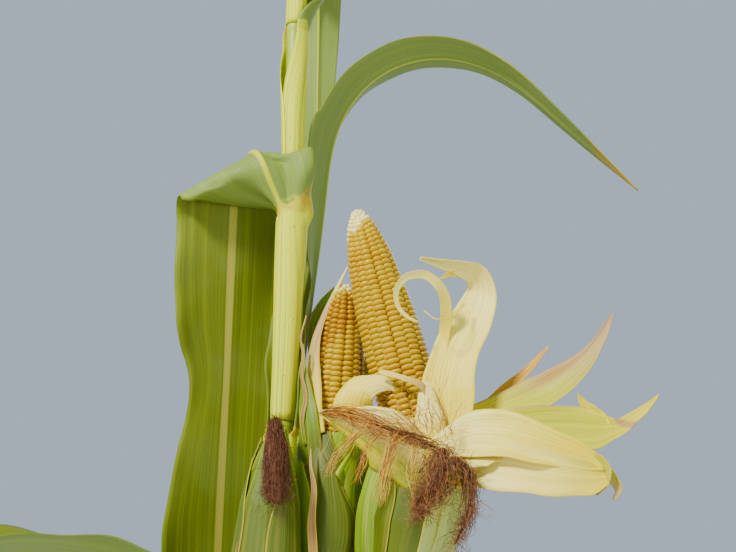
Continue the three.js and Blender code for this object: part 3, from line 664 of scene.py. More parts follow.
def plain_leaf(node):
    """What every leaf has, worked out from its node"""
    right = node % 2 == 1
    rank = (node - FIRST_LEAF_NODE) / (len(NODE_HEIGHTS) - FIRST_LEAF_NODE)
    fullness = math.sin(math.pi * lerp(0.3, 0.84, rank))
    side = 17 if (node % 4) // 2 else -17
    top = NODE_HEIGHTS[node] if node < len(NODE_HEIGHTS) else NODE_HEIGHTS[node - 1] + FLAG_INTERNODE
    return {
        "node": node,
        "facing": (0 if right else 180) + 0.5 * side,
        "heading": (0 if right else 180) + side,
        "turn_over": 120,
        "length": lerp(330, 800, fullness),
        "half_width": lerp(20, 50, fullness),
        "rise": lerp(34, 24, rank),
        "fall": lerp(168, 128, rank),
        "bend_from": 0.05,
        "bend_to": lerp(0.72, 0.95, rank),
        "sheath": top - NODE_HEIGHTS[node - 1] - 12,
        "ruffle": 7, "fold": 14, "drift": (0, 0), "drift_over": 150, "collar_wrap": 0.62,
        "near": [], "far": [], "near_fold": 0, "near_share": 1, "lift": 0,
        "near_unroll": UNROLL, "far_unroll": UNROLL, "droop": 0, "pleats": [], "auricle": 1.5, "lip": 0,
        "dry": node == FIRST_LEAF_NODE,
    }


# The leaves that are seen close to the ears. Leaf 10 is bent back over its own upper side: near and far give
# the widths of its two halves by the distance from the collar. Each pleat runs from one distance and place
# across to another, with its width and how far it stands out on the underside.
LEAF_CHANGES = {
    8: {"facing": 160, "heading": 214, "rise": 44, "bend_to": 0.6, "sheath": 148, "near_unroll": 14},
    9: {
        "facing": 50, "heading": -8, "turn_over": 240, "length": 655, "half_width": 40, "rise": 3,
        "fall": 138, "bend_from": 0.34, "bend_to": 0.83, "fold": 16, "drift": (10, 26), "drift_over": 280,
        "ruffle": 4, "near_unroll": 110, "far_unroll": 110,
        "near": [(0, 26), (130, 30), (200, 34), (260, 40)],
        "far": [(0, 25), (60, 16), (130, 18), (220, 31), (290, 40)],
    },
    10: {
        "facing": 228, "heading": 280, "turn_over": 45, "length": 850, "half_width": 53, "rise": 22,
        "fall": -171, "bend_from": 0.026, "bend_to": 0.112, "fold": 6, "near_fold": -30, "near_share": 0.85,
        "drift": (-34, 0), "drift_over": 110, "ruffle": 9, "collar_wrap": 0.68, "droop": 0.52, "lift": 0.42,
        "near_unroll": 16, "far_unroll": 9,
        "near": [(0, 29), (22, 38), (36, 38), (46, 18), (84, 19), (112, 45)],
        "far": [
            (0, 29), (12, 42), (26, 58), (56, 63), (104, 50), (158, 48.7), (200, 44.5), (222, 39.8),
            (238, 34.4), (254, 31), (270, 31), (286, 33.4), (306, 38.6), (328, 42), (348, 45), (368, 47.6),
        ],
        "pleats": [
            (6, 0.22, 42, 0.46, 0.15, -5.5), (6, 0.66, 34, 0.8, 0.2, 3),
            (4, -0.3, 46, -0.6, 0.13, -4.5), (8, -0.14, 44, -0.28, 0.1, 2),
        ],
        "auricle": 5, "lip": 9,
    },
    11: {
        "facing": 34, "heading": 93, "turn_over": 90, "length": 430, "half_width": 27, "rise": 14,
        "fall": 177, "bend_from": 0.14, "bend_to": 0.58, "sheath": 168,
    },
    12: {"heading": 158, "facing": 172},
    13: {"heading": -14, "facing": -8},
}


class Leaf:
    """A leaf's surface, from the foot of its sheath to the tip of its blade"""

    STEP = 2.0

    def __init__(self, node):
        self.__dict__.update(plain_leaf(node) | LEAF_CHANGES.get(node, {}))
        self.collar_z = NODE_HEIGHTS[node - 1] + SHEATH_START + self.sheath
        self.collar_radius = self.sheath_radius(1)
        walker = stem_centre(self.collar_z) + self.collar_radius * level(math.radians(self.facing))
        self.stations = []
        for i in range(math.ceil(self.length / self.STEP) + 2):
            s = i * self.STEP
            azimuth = math.radians(lerp(self.facing, self.heading, smooth(s, 0, self.turn_over)))
            bend = smooth(s / self.length, self.bend_from, self.bend_to)
            tilt = math.radians(lerp(self.rise, self.fall, bend) * smooth(s, -UNROLL, 0.7 * UNROLL))
            forward = tilted(tilt, azimuth)
            across = Vector((-math.sin(azimuth), math.cos(azimuth), 0))
            shift = smooth(s, 0, self.drift_over)
            place = walker + Vector((self.drift[0] * shift, self.drift[1] * shift, 0))
            self.stations.append((place, across, forward.cross(across)))
            walker = walker + forward * self.STEP
        # The distance along for some shares of the rows, which stand closer where the leaf opens and bends
        self.rows = [(0, -self.sheath), (0.12, -34), (0.2, 0), (0.46, 0.17 * self.length), (1, self.length)]

    def sheath_radius(self, share):
        foot = stem_radius(NODE_HEIGHTS[self.node - 1])
        slim = foot - stem_radius(NODE_HEIGHTS[self.node - 1] + SHEATH_START + share * self.sheath)
        clear = (foot + GAP) / math.cos(math.pi / SHEATH_SIDES)
        return clear + SHEATH_WALL / 2 - 0.5 * slim * share + SHEATH_FLARE * smooth(share, 0.1, 1)

    def relief(self, s, v):
        """How far the surface stands out on the underside: pleats, and a small ear at the collar's margin"""
        out = self.auricle * smooth(v, 0.7, 1) * smooth(s, -16, 0) * (1 - smooth(s, 0, 12))
        for s0, v0, s1, v1, wide, depth in self.pleats:
            line = lerp(v0, v1, clamp((s - s0) / (s1 - s0)))
            shown = smooth(s, s0 - 10, s0) * (1 - smooth(s, s1, s1 + 10))
            out += depth * bell(v - line, wide) * shown
        return out

    def half_width_at(self, s, v):
        given = self.near if v > 0 else self.far
        if given and s < given[-1][0]:
            return read_off(given, s)
        wrapped = math.pi * self.collar_wrap * self.collar_radius
        outline = self.half_width * max(0, 1 - min(1, s / self.length) ** SHOULDERS) ** 0.85
        share = self.near_share if v > 0 else 1
        return max(0.7, lerp(wrapped, share * outline, smooth(s, 0, 2.5 * UNROLL)))

    def sheath_point(self, s, v):
        wrap = lerp(SHEATH_WRAP, self.collar_wrap, smooth(s, -SHEATH_OPENS, 0) ** 1.5)
        radius = self.sheath_radius(1 + s / self.sheath) + SHEATH_OVERLAP * v
        radius += self.relief(s, v) - 0.5 * (1 - smooth(s + self.sheath, 0, SHEATH_FOOT))
        turn = math.radians(self.facing) + math.pi * wrap * v
        return stem_centre(self.collar_z + s) + radius * level(turn)

    def blade_upward(self, s, v, t, curl, look):
        """How far the blade rises at a distance t from its rib: trough, fold, wavy margins and groove"""
        opened = smooth(s, 0, 3 * UNROLL)
        left = 1 - min(1, s / self.length)
        side = math.copysign(1, v)
        swell = math.sin(2 * math.pi * s / WAVE_LENGTH + 1.7 * side + self.node)
        frill = math.sin(2 * math.pi * s / look.frill_length + 2.6 * side + 2 * self.node)
        wave = (swell * self.ruffle + frill * look.frill * (v * v)) * (v * v)
        folded = self.near_fold * smooth(s, 60, 130) if v > 0 and self.near_fold else self.fold * opened
        lifted = abs(t) * math.tan(math.radians(folded)) * left
        upward = (1 - math.cos(curl * t)) / curl + lifted + wave * opened * left ** 2
        return upward - look.groove * bell(t, GROOVE_WIDTH) * smooth(s, 0, 60) * left

    def point(self, s, v, look):
        """s runs along the leaf, negative in the sheath and from 0 at the collar in the blade"""
        if s <= 0:
            return self.sheath_point(s, v)
        step = min(len(self.stations) - 2, int(s / self.STEP))
        part = s / self.STEP - step
        place, across, inward = (a.lerp(b, part) for a, b in zip(*self.stations[step:step + 2]))
        t = v * self.half_width_at(s, v)
        unroll = self.far_unroll if v < 0 else self.near_unroll
        curl = lerp(1 / self.collar_radius, 1 / TROUGH_RADIUS, 1 - bell(s, unroll))
        lift = self.lift * smooth(s, 0, 30) * (1 - smooth(s, 60, 100))
        raised = t * (self.droop * smooth(s, 0, 50) if v < 0 else lift)
        raised += self.lip * smooth(v, 0.4, 1) * bell(s - 33, 8)
        out = self.relief(s, v)
        sideways = math.sin(curl * t) * (1 / curl + out)
        upward = self.blade_upward(s, v, t, curl, look) - math.cos(curl * t) * out
        return place + across * sideways + inward * upward + Vector((0, 0, raised))

    def thickness(self, s, v, look):
        if s < 0:
            return SHEATH_THICKNESS
        rib = look.rib_height * smooth(s, 0, 60) * (1 - 0.8 * smooth(s / self.length, 0.3, 1))
        return look.blade + rib * bell(v * self.half_width_at(s, v), RIB_WIDTH)

    def age(self, s, v):
        """Withered at the tip and, further back, along the margins"""
        share = s / self.length
        return clamp(smooth(share, 0.86, 1.0) + 0.5 * smooth(abs(v), 0.9, 1.0) * smooth(share, 0.3, 0.95))


def make_leaf(node, look):
    leaf = Leaf(node)

    def s_at(u):
        return read_off(leaf.rows, u)

    piece = sheet(
        f"leaf_{node}", lambda u, v: leaf.point(s_at(u), v, look), LEAF_GRID,
        lambda u, v: leaf.thickness(s_at(u), v, look), lambda u: s_at(u) * MM, look.blade + look.rib_height,
        lambda u, v: leaf.age(s_at(u), v),
    )
    finish = leaf_finish(f"leaf {node}", look, 7.3 * node, leaf.dry)
    slot = "leaf_dry" if leaf.dry else "leaf"
    finish_piece(piece, [finish], slot, (f"leaf_{node}_base", f"leaf_{node}_tip"))


# Ears

# Each opened ear: its foot, its tip and its radius, the share along from which its kernels are darker, a
# painted shadow with the brown tint of the thin husk over them, the turn of its paler side, and the turn of
# its first row
EAR_OUTLINE = [
    (0, 0.8), (0.08, 0.93), (0.3, 1), (0.55, 0.94), (0.78, 0.76), (0.92, 0.52), (0.985, 0.27), (1, 0.1),
]
RIGHT_EAR = {
    "base": (114, -38, 1172), "tip": (61.6, -20, 1376), "radius": 25.5, "shaded": 2.0, "pale_side": 1.6,
    "turn": 0.1,
}
LEFT_EAR = {
    "base": (41, -11, 1168), "tip": (50.5, 6, 1318), "radius": 23, "shaded": 0.68, "pale_side": 0,
    "turn": 0.35,
}
KERNEL_SHADES = ("tip", "pale", "yellow", "golden", "deep", "shaded")
RIPE_SHADES = ("yellow", "yellow", "yellow", "golden", "golden", "deep")
COB_GRID = (28, 40)

# Rows and kernels: how near the rows of a pair stand, how far rows wind round the ear and sway, from where
# on and how much smaller the kernels at the tip are, how they crowd each other, and how deep they and the
# cob lie
PAIRING = 0.06
ROW_TWIST, ROW_SWAY = 0.22, 0.02
TIP_STARTS, TIP_SIZE = 0.84, 0.72
CROWDING = 1.06
SUNK = 0.97
COB_DEPTH = 0.42

# How much kernels differ in width, thickness, height and distance
WIDTHS, THICKNESSES, HEIGHTS, DISTANCES = (0.97, 1.04), (0.94, 1.05), (0.96, 1.05), (0.97, 1.03)

# Ears in their husks: the middle line of each, and its radius along it
CLOSED_EAR = {
    "path": [(-10, -42, 992), (-7.5, -41, 1043), (-5, -40, 1095), (-2.5, -39, 1146), (0, -38, 1198)],
    "radius": [(0, 7), (0.1, 17.6), (0.3, 24), (0.5, 24.5), (0.7, 21), (0.86, 14), (0.96, 7.4), (1, 4)],
}
RIGHT_CUP = {
    "path": [(86, -37, 1060), (95, -40, 1082), (106, -42, 1118), (115, -41, 1158), (114, -38, 1196)],
    "radius": [(0, 8), (0.2, 20), (0.5, 32), (0.8, 32), (1, 28.5)],
}
LEFT_CUP = {
    "path": [(24, -16, 1056), (33, -18, 1080), (40, -17, 1110), (41, -13, 1150), (42, -9, 1188)],
    "radius": [(0, 8), (0.2, 17), (0.5, 25), (0.8, 27), (1, 25.5)],
}


def kernel_shape():
    """One kernel, 1 wide, 1 thick and 1 high: a block with a rounded crown that narrows to its foot"""
    middle, ball_radius, roundness, narrowed = Vector((0, 0, 0.5)), 0.53, 0.95, 0.72
    bpy.ops.object.select_all(action="DESELECT")
    bpy.ops.mesh.primitive_cube_add(size=1, location=middle)
    bpy.ops.object.mode_set(mode="EDIT")
    bpy.ops.mesh.subdivide(number_cuts=3)
    bpy.ops.object.mode_set(mode="OBJECT")
    block = bpy.context.object
    block.data.transform(block.matrix_world)
    for vertex in block.data.vertices:
        x, y, z = vertex.co
        ball = (vertex.co - middle).normalized() * ball_radius + middle
        foot = lerp(narrowed, 1, smooth(z, 0, 0.75))
        vertex.co = Vector((x * foot, y * foot, z)).lerp(ball, roundness * smooth(z, 0.15, 0.8))
    shape = bmesh.new()
    shape.from_mesh(block.data)
    hidden = [face for face in shape.faces if face.calc_center_median().z < 0.02]
    bmesh.ops.delete(shape, geom=hidden, context="FACES")
    bmesh.ops.holes_fill(shape, edges=shape.edges, sides=0)
    mesh = bpy.data.meshes.new("kernel")
    shape.to_mesh(mesh)
    shape.free()
    bpy.data.objects.remove(block)
    return mesh


def kernel_shade(share, turn, ear, rng):
    """Unfilled at the tip, pale just below it, darker with painted shadow under a thin husk, and otherwise
    one of the ripe shades
    """
    towards = math.cos(turn - ear["pale_side"])
    if share > 0.93 + 0.03 * towards - 0.02 * rng.random():
        return "tip"
    if share > 0.87 + 0.05 * towards - 0.03 * rng.random():
        return "pale"
    if share > ear["shaded"] + 0.07 * math.sin(turn * 2):
        return "shaded"
    return rng.choice(RIPE_SHADES)


def make_ear(name, ear, look, pattern, seed):
    """Rows of kernels on a cob. Rows stand in pairs, and the two rows of a pair are staggered."""
    rng = random.Random(seed)
    base, tip = Vector(ear["base"]), Vector(ear["tip"])
    length = (tip - base).length
    axis = (tip - base).normalized()
    first, second = square_frame(axis, Vector((0, -1, 0)))
    depth = look.depth * ear["radius"] / RIGHT_EAR["radius"]
    ahead = 0.02
    matrices, shades = [], []
    for row in range(look.rows):
        pair = row + (PAIRING if row % 2 == 0 else -PAIRING)
        along = 2 + look.pitch * (0.5 if row % 2 else 0) + rng.uniform(0, 1)
        sway = rng.uniform(-1, 1)
        while along < length - 1:
            share = along / length
            radius = ear["radius"] * read_off(EAR_OUTLINE, share)
            next_radius = ear["radius"] * read_off(EAR_OUTLINE, min(1, share + ahead))
            slope = math.atan2(next_radius - radius, ahead * length)
            turn = ear["turn"] + 2 * math.pi * pair / look.rows + ROW_TWIST * share
            turn += ROW_SWAY * sway * math.sin(9 * share)
            turn += rng.uniform(-1, 1) * (0.012 + 0.1 * smooth(share, 0.86, 1))
            out = around(turn, first, second)
            sideways = axis.cross(out)
            tilted_out = (out * math.cos(slope) - axis * math.sin(slope)).normalized()
            small = lerp(1, TIP_SIZE, smooth(share, TIP_STARTS, 1))
            wide = 2 * math.pi * radius / look.rows * rng.uniform(*WIDTHS)
            thick = look.pitch * CROWDING * small * rng.uniform(*THICKNESSES)
            high = depth * small * rng.uniform(*HEIGHTS)
            foot = base + axis * along + out * (radius - high * SUNK)
            directions = (sideways, sideways.cross(tilted_out) * -1, tilted_out)
            matrices.append(placed(foot, directions, (wide, thick, high)))
            shades.append(KERNEL_SHADES.index(kernel_shade(share, turn, ear, rng)))
            along += look.pitch * small * rng.uniform(*DISTANCES)
    finishes = [kernel_finish(f"{name} {kind}", getattr(look, kind)) for kind in KERNEL_SHADES]
    finish_piece(copies(name, pattern, matrices, shades), finishes, "kernel", (name,))

    def cob_place(u, turn):
        radius = max(1, ear["radius"] * read_off(EAR_OUTLINE, u) - COB_DEPTH * depth)
        return base + axis * length * lerp(0, 0.985, u) + around(turn, first, second) * radius

    cob = tube(f"{name}_cob", cob_place, *COB_GRID, lambda u: u * length * MM)
    finish_piece(cob, [plain_finish(f"{name} cob", look.cob, 0.6)], "kernel")


# Husks that still wrap an ear

WRAP_GRID = (26, 44)
WRAP_THICKNESS = 0.8
CORE_GRID = (32, 40)
CORE_BELOW = -0.9


def wrap_point(ear, spine, along, turn, out):
    """A place round an ear: turn 0 is to the right, 90 away, 180 to the left and 270 to the front"""
    first, second = square_frame(spine.forward(clamp(along)), Vector((1, 0, 0)))
    radius = read_off(ear["radius"], along) + out
    return spine.point(along) + radius * around(turn, first, second)


# Each wrap: its turns at the foot and at the top, how high it reaches, how much higher its last edge is than
# its first, how far out it lies, and its colours
WRAPS = {
    "cup_right": (RIGHT_CUP, [
        (160, 340, 165, 345, 1.0, 0.0, 0.2, "grey"), (300, 460, 280, 450, 1.0, 0.0, 0.5, "green"),
        (60, 215, 60, 240, 1.0, 0.0, 0.9, "green"), (205, 296, 210, 292, 0.93, -0.04, 1.5, "striped"),
        (282, 350, 272, 340, 0.84, 0.1, 2.1, "grey"), (172, 232, 178, 236, 0.86, -0.06, 2.6, "striped"),
    ]),
    "cup_left": (LEFT_CUP, [
        (150, 310, 150, 320, 1.0, 0.0, 0.2, "deep"), (280, 440, 270, 430, 1.0, 0.0, 0.5, "green"),
        (40, 190, 40, 200, 1.0, 0.0, 0.9, "green"), (215, 345, 205, 330, 0.84, -0.12, 1.6, "deep"),
        (168, 246, 170, 242, 0.95, -0.05, 2.4, "lime"),
    ]),
    # Partly painted shade: the closed ear's wraps are mostly deep green, for their own darker green and for
    # the shadow they stand in
    "ear_closed": (CLOSED_EAR, [
        (20, 210, 30, 200, 0.99, 0.0, 0.2, "deep"), (190, 350, 190, 345, 1.0, 0.0, 0.5, "deep"),
        (300, 430, 300, 420, 0.97, 0.0, 1.0, "green"), (208, 292, 222, 286, 0.93, 0.0, 1.6, "deep"),
        (120, 228, 150, 226, 0.9, -0.04, 2.1, "deep"), (268, 350, 276, 340, 0.86, 0.04, 2.6, "deep"),
    ]),
}


def make_wrap(name, ear, wrap, finishes):
    foot_from, foot_to, top_from, top_to, top, slant, out, tone = wrap
    spine = Spine(ear["path"])
    seed = len(name) + foot_from

    def surface(u, v):
        narrow = 1 - 0.6 * smooth(u, 0.66, 1) ** 1.6
        low, high = lerp(foot_from, top_from, u), lerp(foot_to, top_to, u)
        turn = math.radians(lerp(low, high, 0.5 + 0.5 * v * narrow))
        ridge = 0.22 * math.sin(9 * v + seed) + 0.1 * math.sin(31 * v + 2 * seed)
        lip = 0.8 * smooth(abs(v), 0.86, 1) * math.sin(6 * u + seed) ** 2
        raised = 0.2 + (out + ridge + lip) * smooth(u, 0.02, 0.12)
        return wrap_point(ear, spine, u * (top + slant * v), turn, raised)

    def age(u, v):
        worn = smooth(math.sin(5 * u + seed), -0.2, 0.9)
        return 0.75 * smooth(abs(v), 0.93, 1) * worn + 0.5 * smooth(u, 0.97, 1)

    piece = sheet(
        name, lambda u, v: surface(u, -v), WRAP_GRID, lambda u, v: WRAP_THICKNESS,
        lambda u: u * top * spine.length * MM, WRAP_THICKNESS, age,
    )
    finish_piece(piece, [finishes[tone]], "husk_green")


def make_wraps(look):
    green, deep, grey, bright = look.green, look.deep, look.grey, look.bright
    finishes = {
        kind: husk_finish(f"husk {name}", colours, look, seed, lengths, veins, patches)
        for kind, name, colours, seed, lengths, veins, patches in (
            ("green", "green", (green, green, bright), 3.1, (0.07, 0.16), 24, 0.25),
            ("deep", "deep green", (deep, deep, green), 6.3, (0.12, 0.22), 24, 0.08),
            ("grey", "grey green", (green, grey, look.cream), 8.2, (0.06, 0.2), 16, 0.25),
            ("lime", "yellow green", (green, green, bright), 7.9, (0.04, 0.12), 18, 0.25),
            # Partly painted shade: the long deep green foot of the striped wraps darkens the right cup's left
            # side, where shadow falls
            ("striped", "striped", (deep, deep, grey), 11.4, (0.1, 0.3), 9, 0.1),
        )
    }
    for node, (ear, wraps) in WRAPS.items():
        spine = Spine(ear["path"])
        core = tube(
            node, lambda u, turn: wrap_point(ear, spine, u, turn, CORE_BELOW), *CORE_GRID,
            lambda u: u * spine.length * MM,
        )
        finish_piece(core, [finishes["green"]], "husk_green", (node,))
        for index, wrap in enumerate(wraps):
            make_wrap(f"{node}_wrap_{index + 1}", ear, wrap, finishes)


# Husks that have been pulled down

# How brown the edges of green and of other husks get, and a husk's columns, fewest rows and length of a row
BROWN_EDGES, FAINT_EDGES = 0.9, 0.35
HUSK_COLUMNS, HUSK_FEWEST_ROWS, HUSK_ROW = 22, 24, 2.2


class Husk:
    """A pulled husk, with half widths along its spine and the directions that its inner side faces. It may be
    pleated more or less, lighter or dry on one side, -1 or 1, and dry in a patch at a share of its length."""

    PLEAT_WIDTH = 16  # the half width at which the pleats have their full depth

    def __init__(self, name, kind, hollow, halves, spine, faces, pleated=1, light=0, patch=0, dry_side=0):
        self.name, self.kind, self.hollow = name, kind, hollow
        self.halves = [(i / (len(halves) - 1), half) for i, half in enumerate(halves)]
        self.spine = Spine(spine)
        self.faces = [Vector(face).normalized() for face in faces]
        self.pleated, self.light, self.patch, self.dry_side = pleated, light, patch, dry_side

    def facing(self, share):
        place = share * (len(self.faces) - 1)
        step = min(len(self.faces) - 2, int(place))
        return self.faces[step].lerp(self.faces[step + 1], place - step)

    def surface(self, u, v, crinkle, seed):
        """The inner side: hollow across, with pleats that run along it and wavy margins"""
        share = clamp(u)
        forward = self.spine.forward(share)
        across = forward.cross(self.facing(share)).normalized()
        inner = across.cross(forward).normalized()
        half = read_off(self.halves, share)
        side = math.copysign(1, v)
        edge = smooth(abs(v), 0.55, 1)
        wavy = 1 + 0.035 * edge * math.sin(23 * share + 3 * side + seed)
        pleat = math.sin(11 * v + 3 * share + seed) + 0.6 * math.sin(23 * v - 4 * share + 2 * seed)
        frill = edge * math.sin(15 * share + 2 * side + seed)
        depth = crinkle * half / self.PLEAT_WIDTH * (0.45 * pleat + 1.3 * frill) * smooth(share, 0.02, 0.15)
        depth *= self.pleated
        return self.spine.point(u) + across * v * half * wavy + inner * (self.hollow * half * v * v + depth)

    def age(self, u, v, seed, brown):
        """Withered in places along the margins, and for some husks in a patch or along one side"""
        worn = brown * smooth(abs(v), 0.9, 1) * smooth(math.sin(9 * u + seed), -0.3, 0.8)
        if self.patch:
            worn += 0.9 * math.exp(-((u - self.patch - 0.04 * v) / 0.04) ** 2)
        return clamp(worn + 0.75 * smooth(v * self.dry_side, -0.2, 0.7) * smooth(u, 0.15, 0.55))


# Each husk: its kind, how hollow it is across, its half widths, its spine, and where its inner side faces
HUSKS = [
    Husk("husk_left_inner", "membrane", 0.4, [10, 11, 11, 8, 6, 5, 5, 0.8], [
        (28, -32, 1188), (24, -27, 1216), (22, -19, 1240), (25, -12, 1268), (31, -5, 1289), (38, 1, 1307),
        (45, 4, 1322), (54, 8, 1340),
    ], [(1, 0.8, 0), (1, 0.6, 0), (0.9, 0.2, -0.4)]),
    Husk("husk_left_outer", "green", 0.4, [12, 11, 8, 4, 1.5], [
        (23, -33, 1160), (22, -34, 1193), (20, -31, 1216), (18, -27, 1239), (17, -22, 1262),
    ], [(0.6, 1, 0), (0.8, 1, 0), (1, 0.6, 0.1)]),
    Husk("husk_left_back", "green", 0.35, [13, 16, 14, 13, 13, 11, 7, 1.5], [
        (45, 8, 1174), (43, 20, 1195), (36, 25, 1225), (30, 25, 1258), (28.5, 25, 1280), (30, 27, 1296),
        (35, 28, 1310), (41, 29, 1324),
    ], [(0.3, -1, 0), (0.4, -1, 0), (0.2, -1, -0.2)]),
    Husk("husk_curl", "cream", -0.3, [15, 15, 14, 12, 9.5, 6, 2], [
        (60, -54, 1190), (59.5, -58, 1203), (61, -60, 1213), (66, -60, 1221), (75, -58, 1225),
        (85, -56, 1225), (95, -54, 1220),
    ], [(0.3, -1, 0.1), (0.1, -1, 0.3), (0, -1, 0.5), (0.2, -1, 0.3)], pleated=0.2),
    Husk("husk_band", "dried", 0.1, [2, 2.5, 2.5, 3, 4], [
        (79, -62, 1233), (88, -66, 1230), (98, -71, 1226), (110, -70, 1221), (121, -66, 1208),
    ], [(0, -1, 0.4), (0.2, -1, 0.4)]),
    Husk("husk_front", "front", 0.35, [13, 21, 25, 14, 2], [
        (118, -72, 1148), (100, -82, 1165), (77, -87, 1178), (55, -76, 1190), (34, -58, 1202),
    ], [(-0.2, 1, 0.1), (0.1, 0.9, 0.6), (0.3, 0.8, 0.5)], light=-1),
    Husk("husk_right_front", "cream", 0.4, [13, 13, 10, 4], [
        (116, -76, 1150), (116, -77, 1180), (115, -73, 1203), (113, -68, 1224),
    ], [(0.1, 1, 0.1), (0.2, 1, 0.1)]),
    Husk("husk_tall", "tall", 0.14, [18, 19, 20, 20, 18.5, 16, 13, 10, 7, 4.5, 1.5], [
        (129, -66, 1160), (130, -67, 1190), (131, -66, 1211), (132, -64, 1226), (140, -60, 1252),
        (151.5, -56, 1274), (160, -53, 1296), (157, -58, 1310), (145, -64, 1314), (128, -68, 1317),
        (111, -70, 1321),
    ], [(-0.3, -1, 0.1), (-0.3, -1, 0.1), (-0.4, -1, -0.4), (-0.1, -0.8, -1)], pleated=0.15),
    Husk("husk_strap", "tall", 0.1, [
        1, 3, 4.2, 4.8, 4.8, 4.6, 4.4, 4.2, 4, 3.4, 2.8, 2.3, 1.9, 1.4, 0.7,
    ], [
        (121, -61.6, 1211), (122.2, -60.2, 1222), (123.8, -59, 1234), (126.2, -57.6, 1246),
        (128.8, -57, 1257), (130.5, -59.5, 1267), (131, -66, 1277), (129.5, -73, 1288), (124, -79, 1297),
        (114, -82, 1304), (100, -83, 1302), (92, -82, 1292), (93, -80, 1280), (100, -78, 1272),
        (109, -76, 1268),
    ], [(-0.3, -1, 0), (-0.4, -1, 0), (0.2, -1, -0.6), (0.8, -1, 0)], pleated=0.2),
    Husk("husk_side_upper", "white", 0.2, [8, 11, 18, 20, 17, 12, 4], [
        (112, -74, 1162), (122, -84, 1172), (142, -96, 1180), (164, -102, 1180), (188, -104, 1174),
        (213, -102, 1167), (236, -98, 1160),
    ], [(-0.2, -1, 0.5), (0, -1, 0.5), (0, -1, 0.3)]),
    Husk("husk_side_lower", "white", 0.15, [15, 18, 17, 15, 12, 5], [
        (130, -86, 1160), (151, -101, 1161), (175, -108.5, 1157), (200, -109.5, 1153), (222, -104, 1151),
        (238, -98, 1152),
    ], [(-0.2, -1, 0.25), (0, -1, 0.1), (-0.1, -1, 0.15)], pleated=0.6),
    Husk("husk_side_green", "lime", 0.25, [6, 9, 15, 18, 18, 17, 11, 6, 4.5, 3.2, 0.7], [
        (132, -50, 1172), (147, -60, 1180), (172, -66, 1186), (201, -70, 1188), (222, -72, 1188),
        (234, -73, 1187), (246, -72, 1188), (257, -71, 1190), (266, -71, 1196), (277, -71, 1204),
        (288, -70, 1214),
    ], [(-0.2, -1, 0.4), (0, -1, 0.4), (0, -1, 0.2)], patch=0.74),
    Husk("husk_pointed", "pointed", 0.3, [7, 10, 14, 16, 14, 9, 4.5, 1], [
        (132, -40, 1184), (148, -44, 1196), (172, -48, 1205), (197, -50, 1214), (218, -52, 1225),
        (236, -54, 1240), (251, -56, 1259), (262, -58, 1280),
    ], [(-0.4, -1, 0.6), (-0.3, -1, 0.6), (-0.3, -1, 0.3)], dry_side=-1),
    Husk("husk_narrow", "narrow", 0.3, [5, 6, 6, 4, 1], [
        (134, -32, 1178), (156, -30, 1200), (179, -30, 1222), (198, -30, 1239), (216, -30, 1259),
    ], [(-0.6, -1, 0.6), (-0.6, -1, 0.6)]),
]

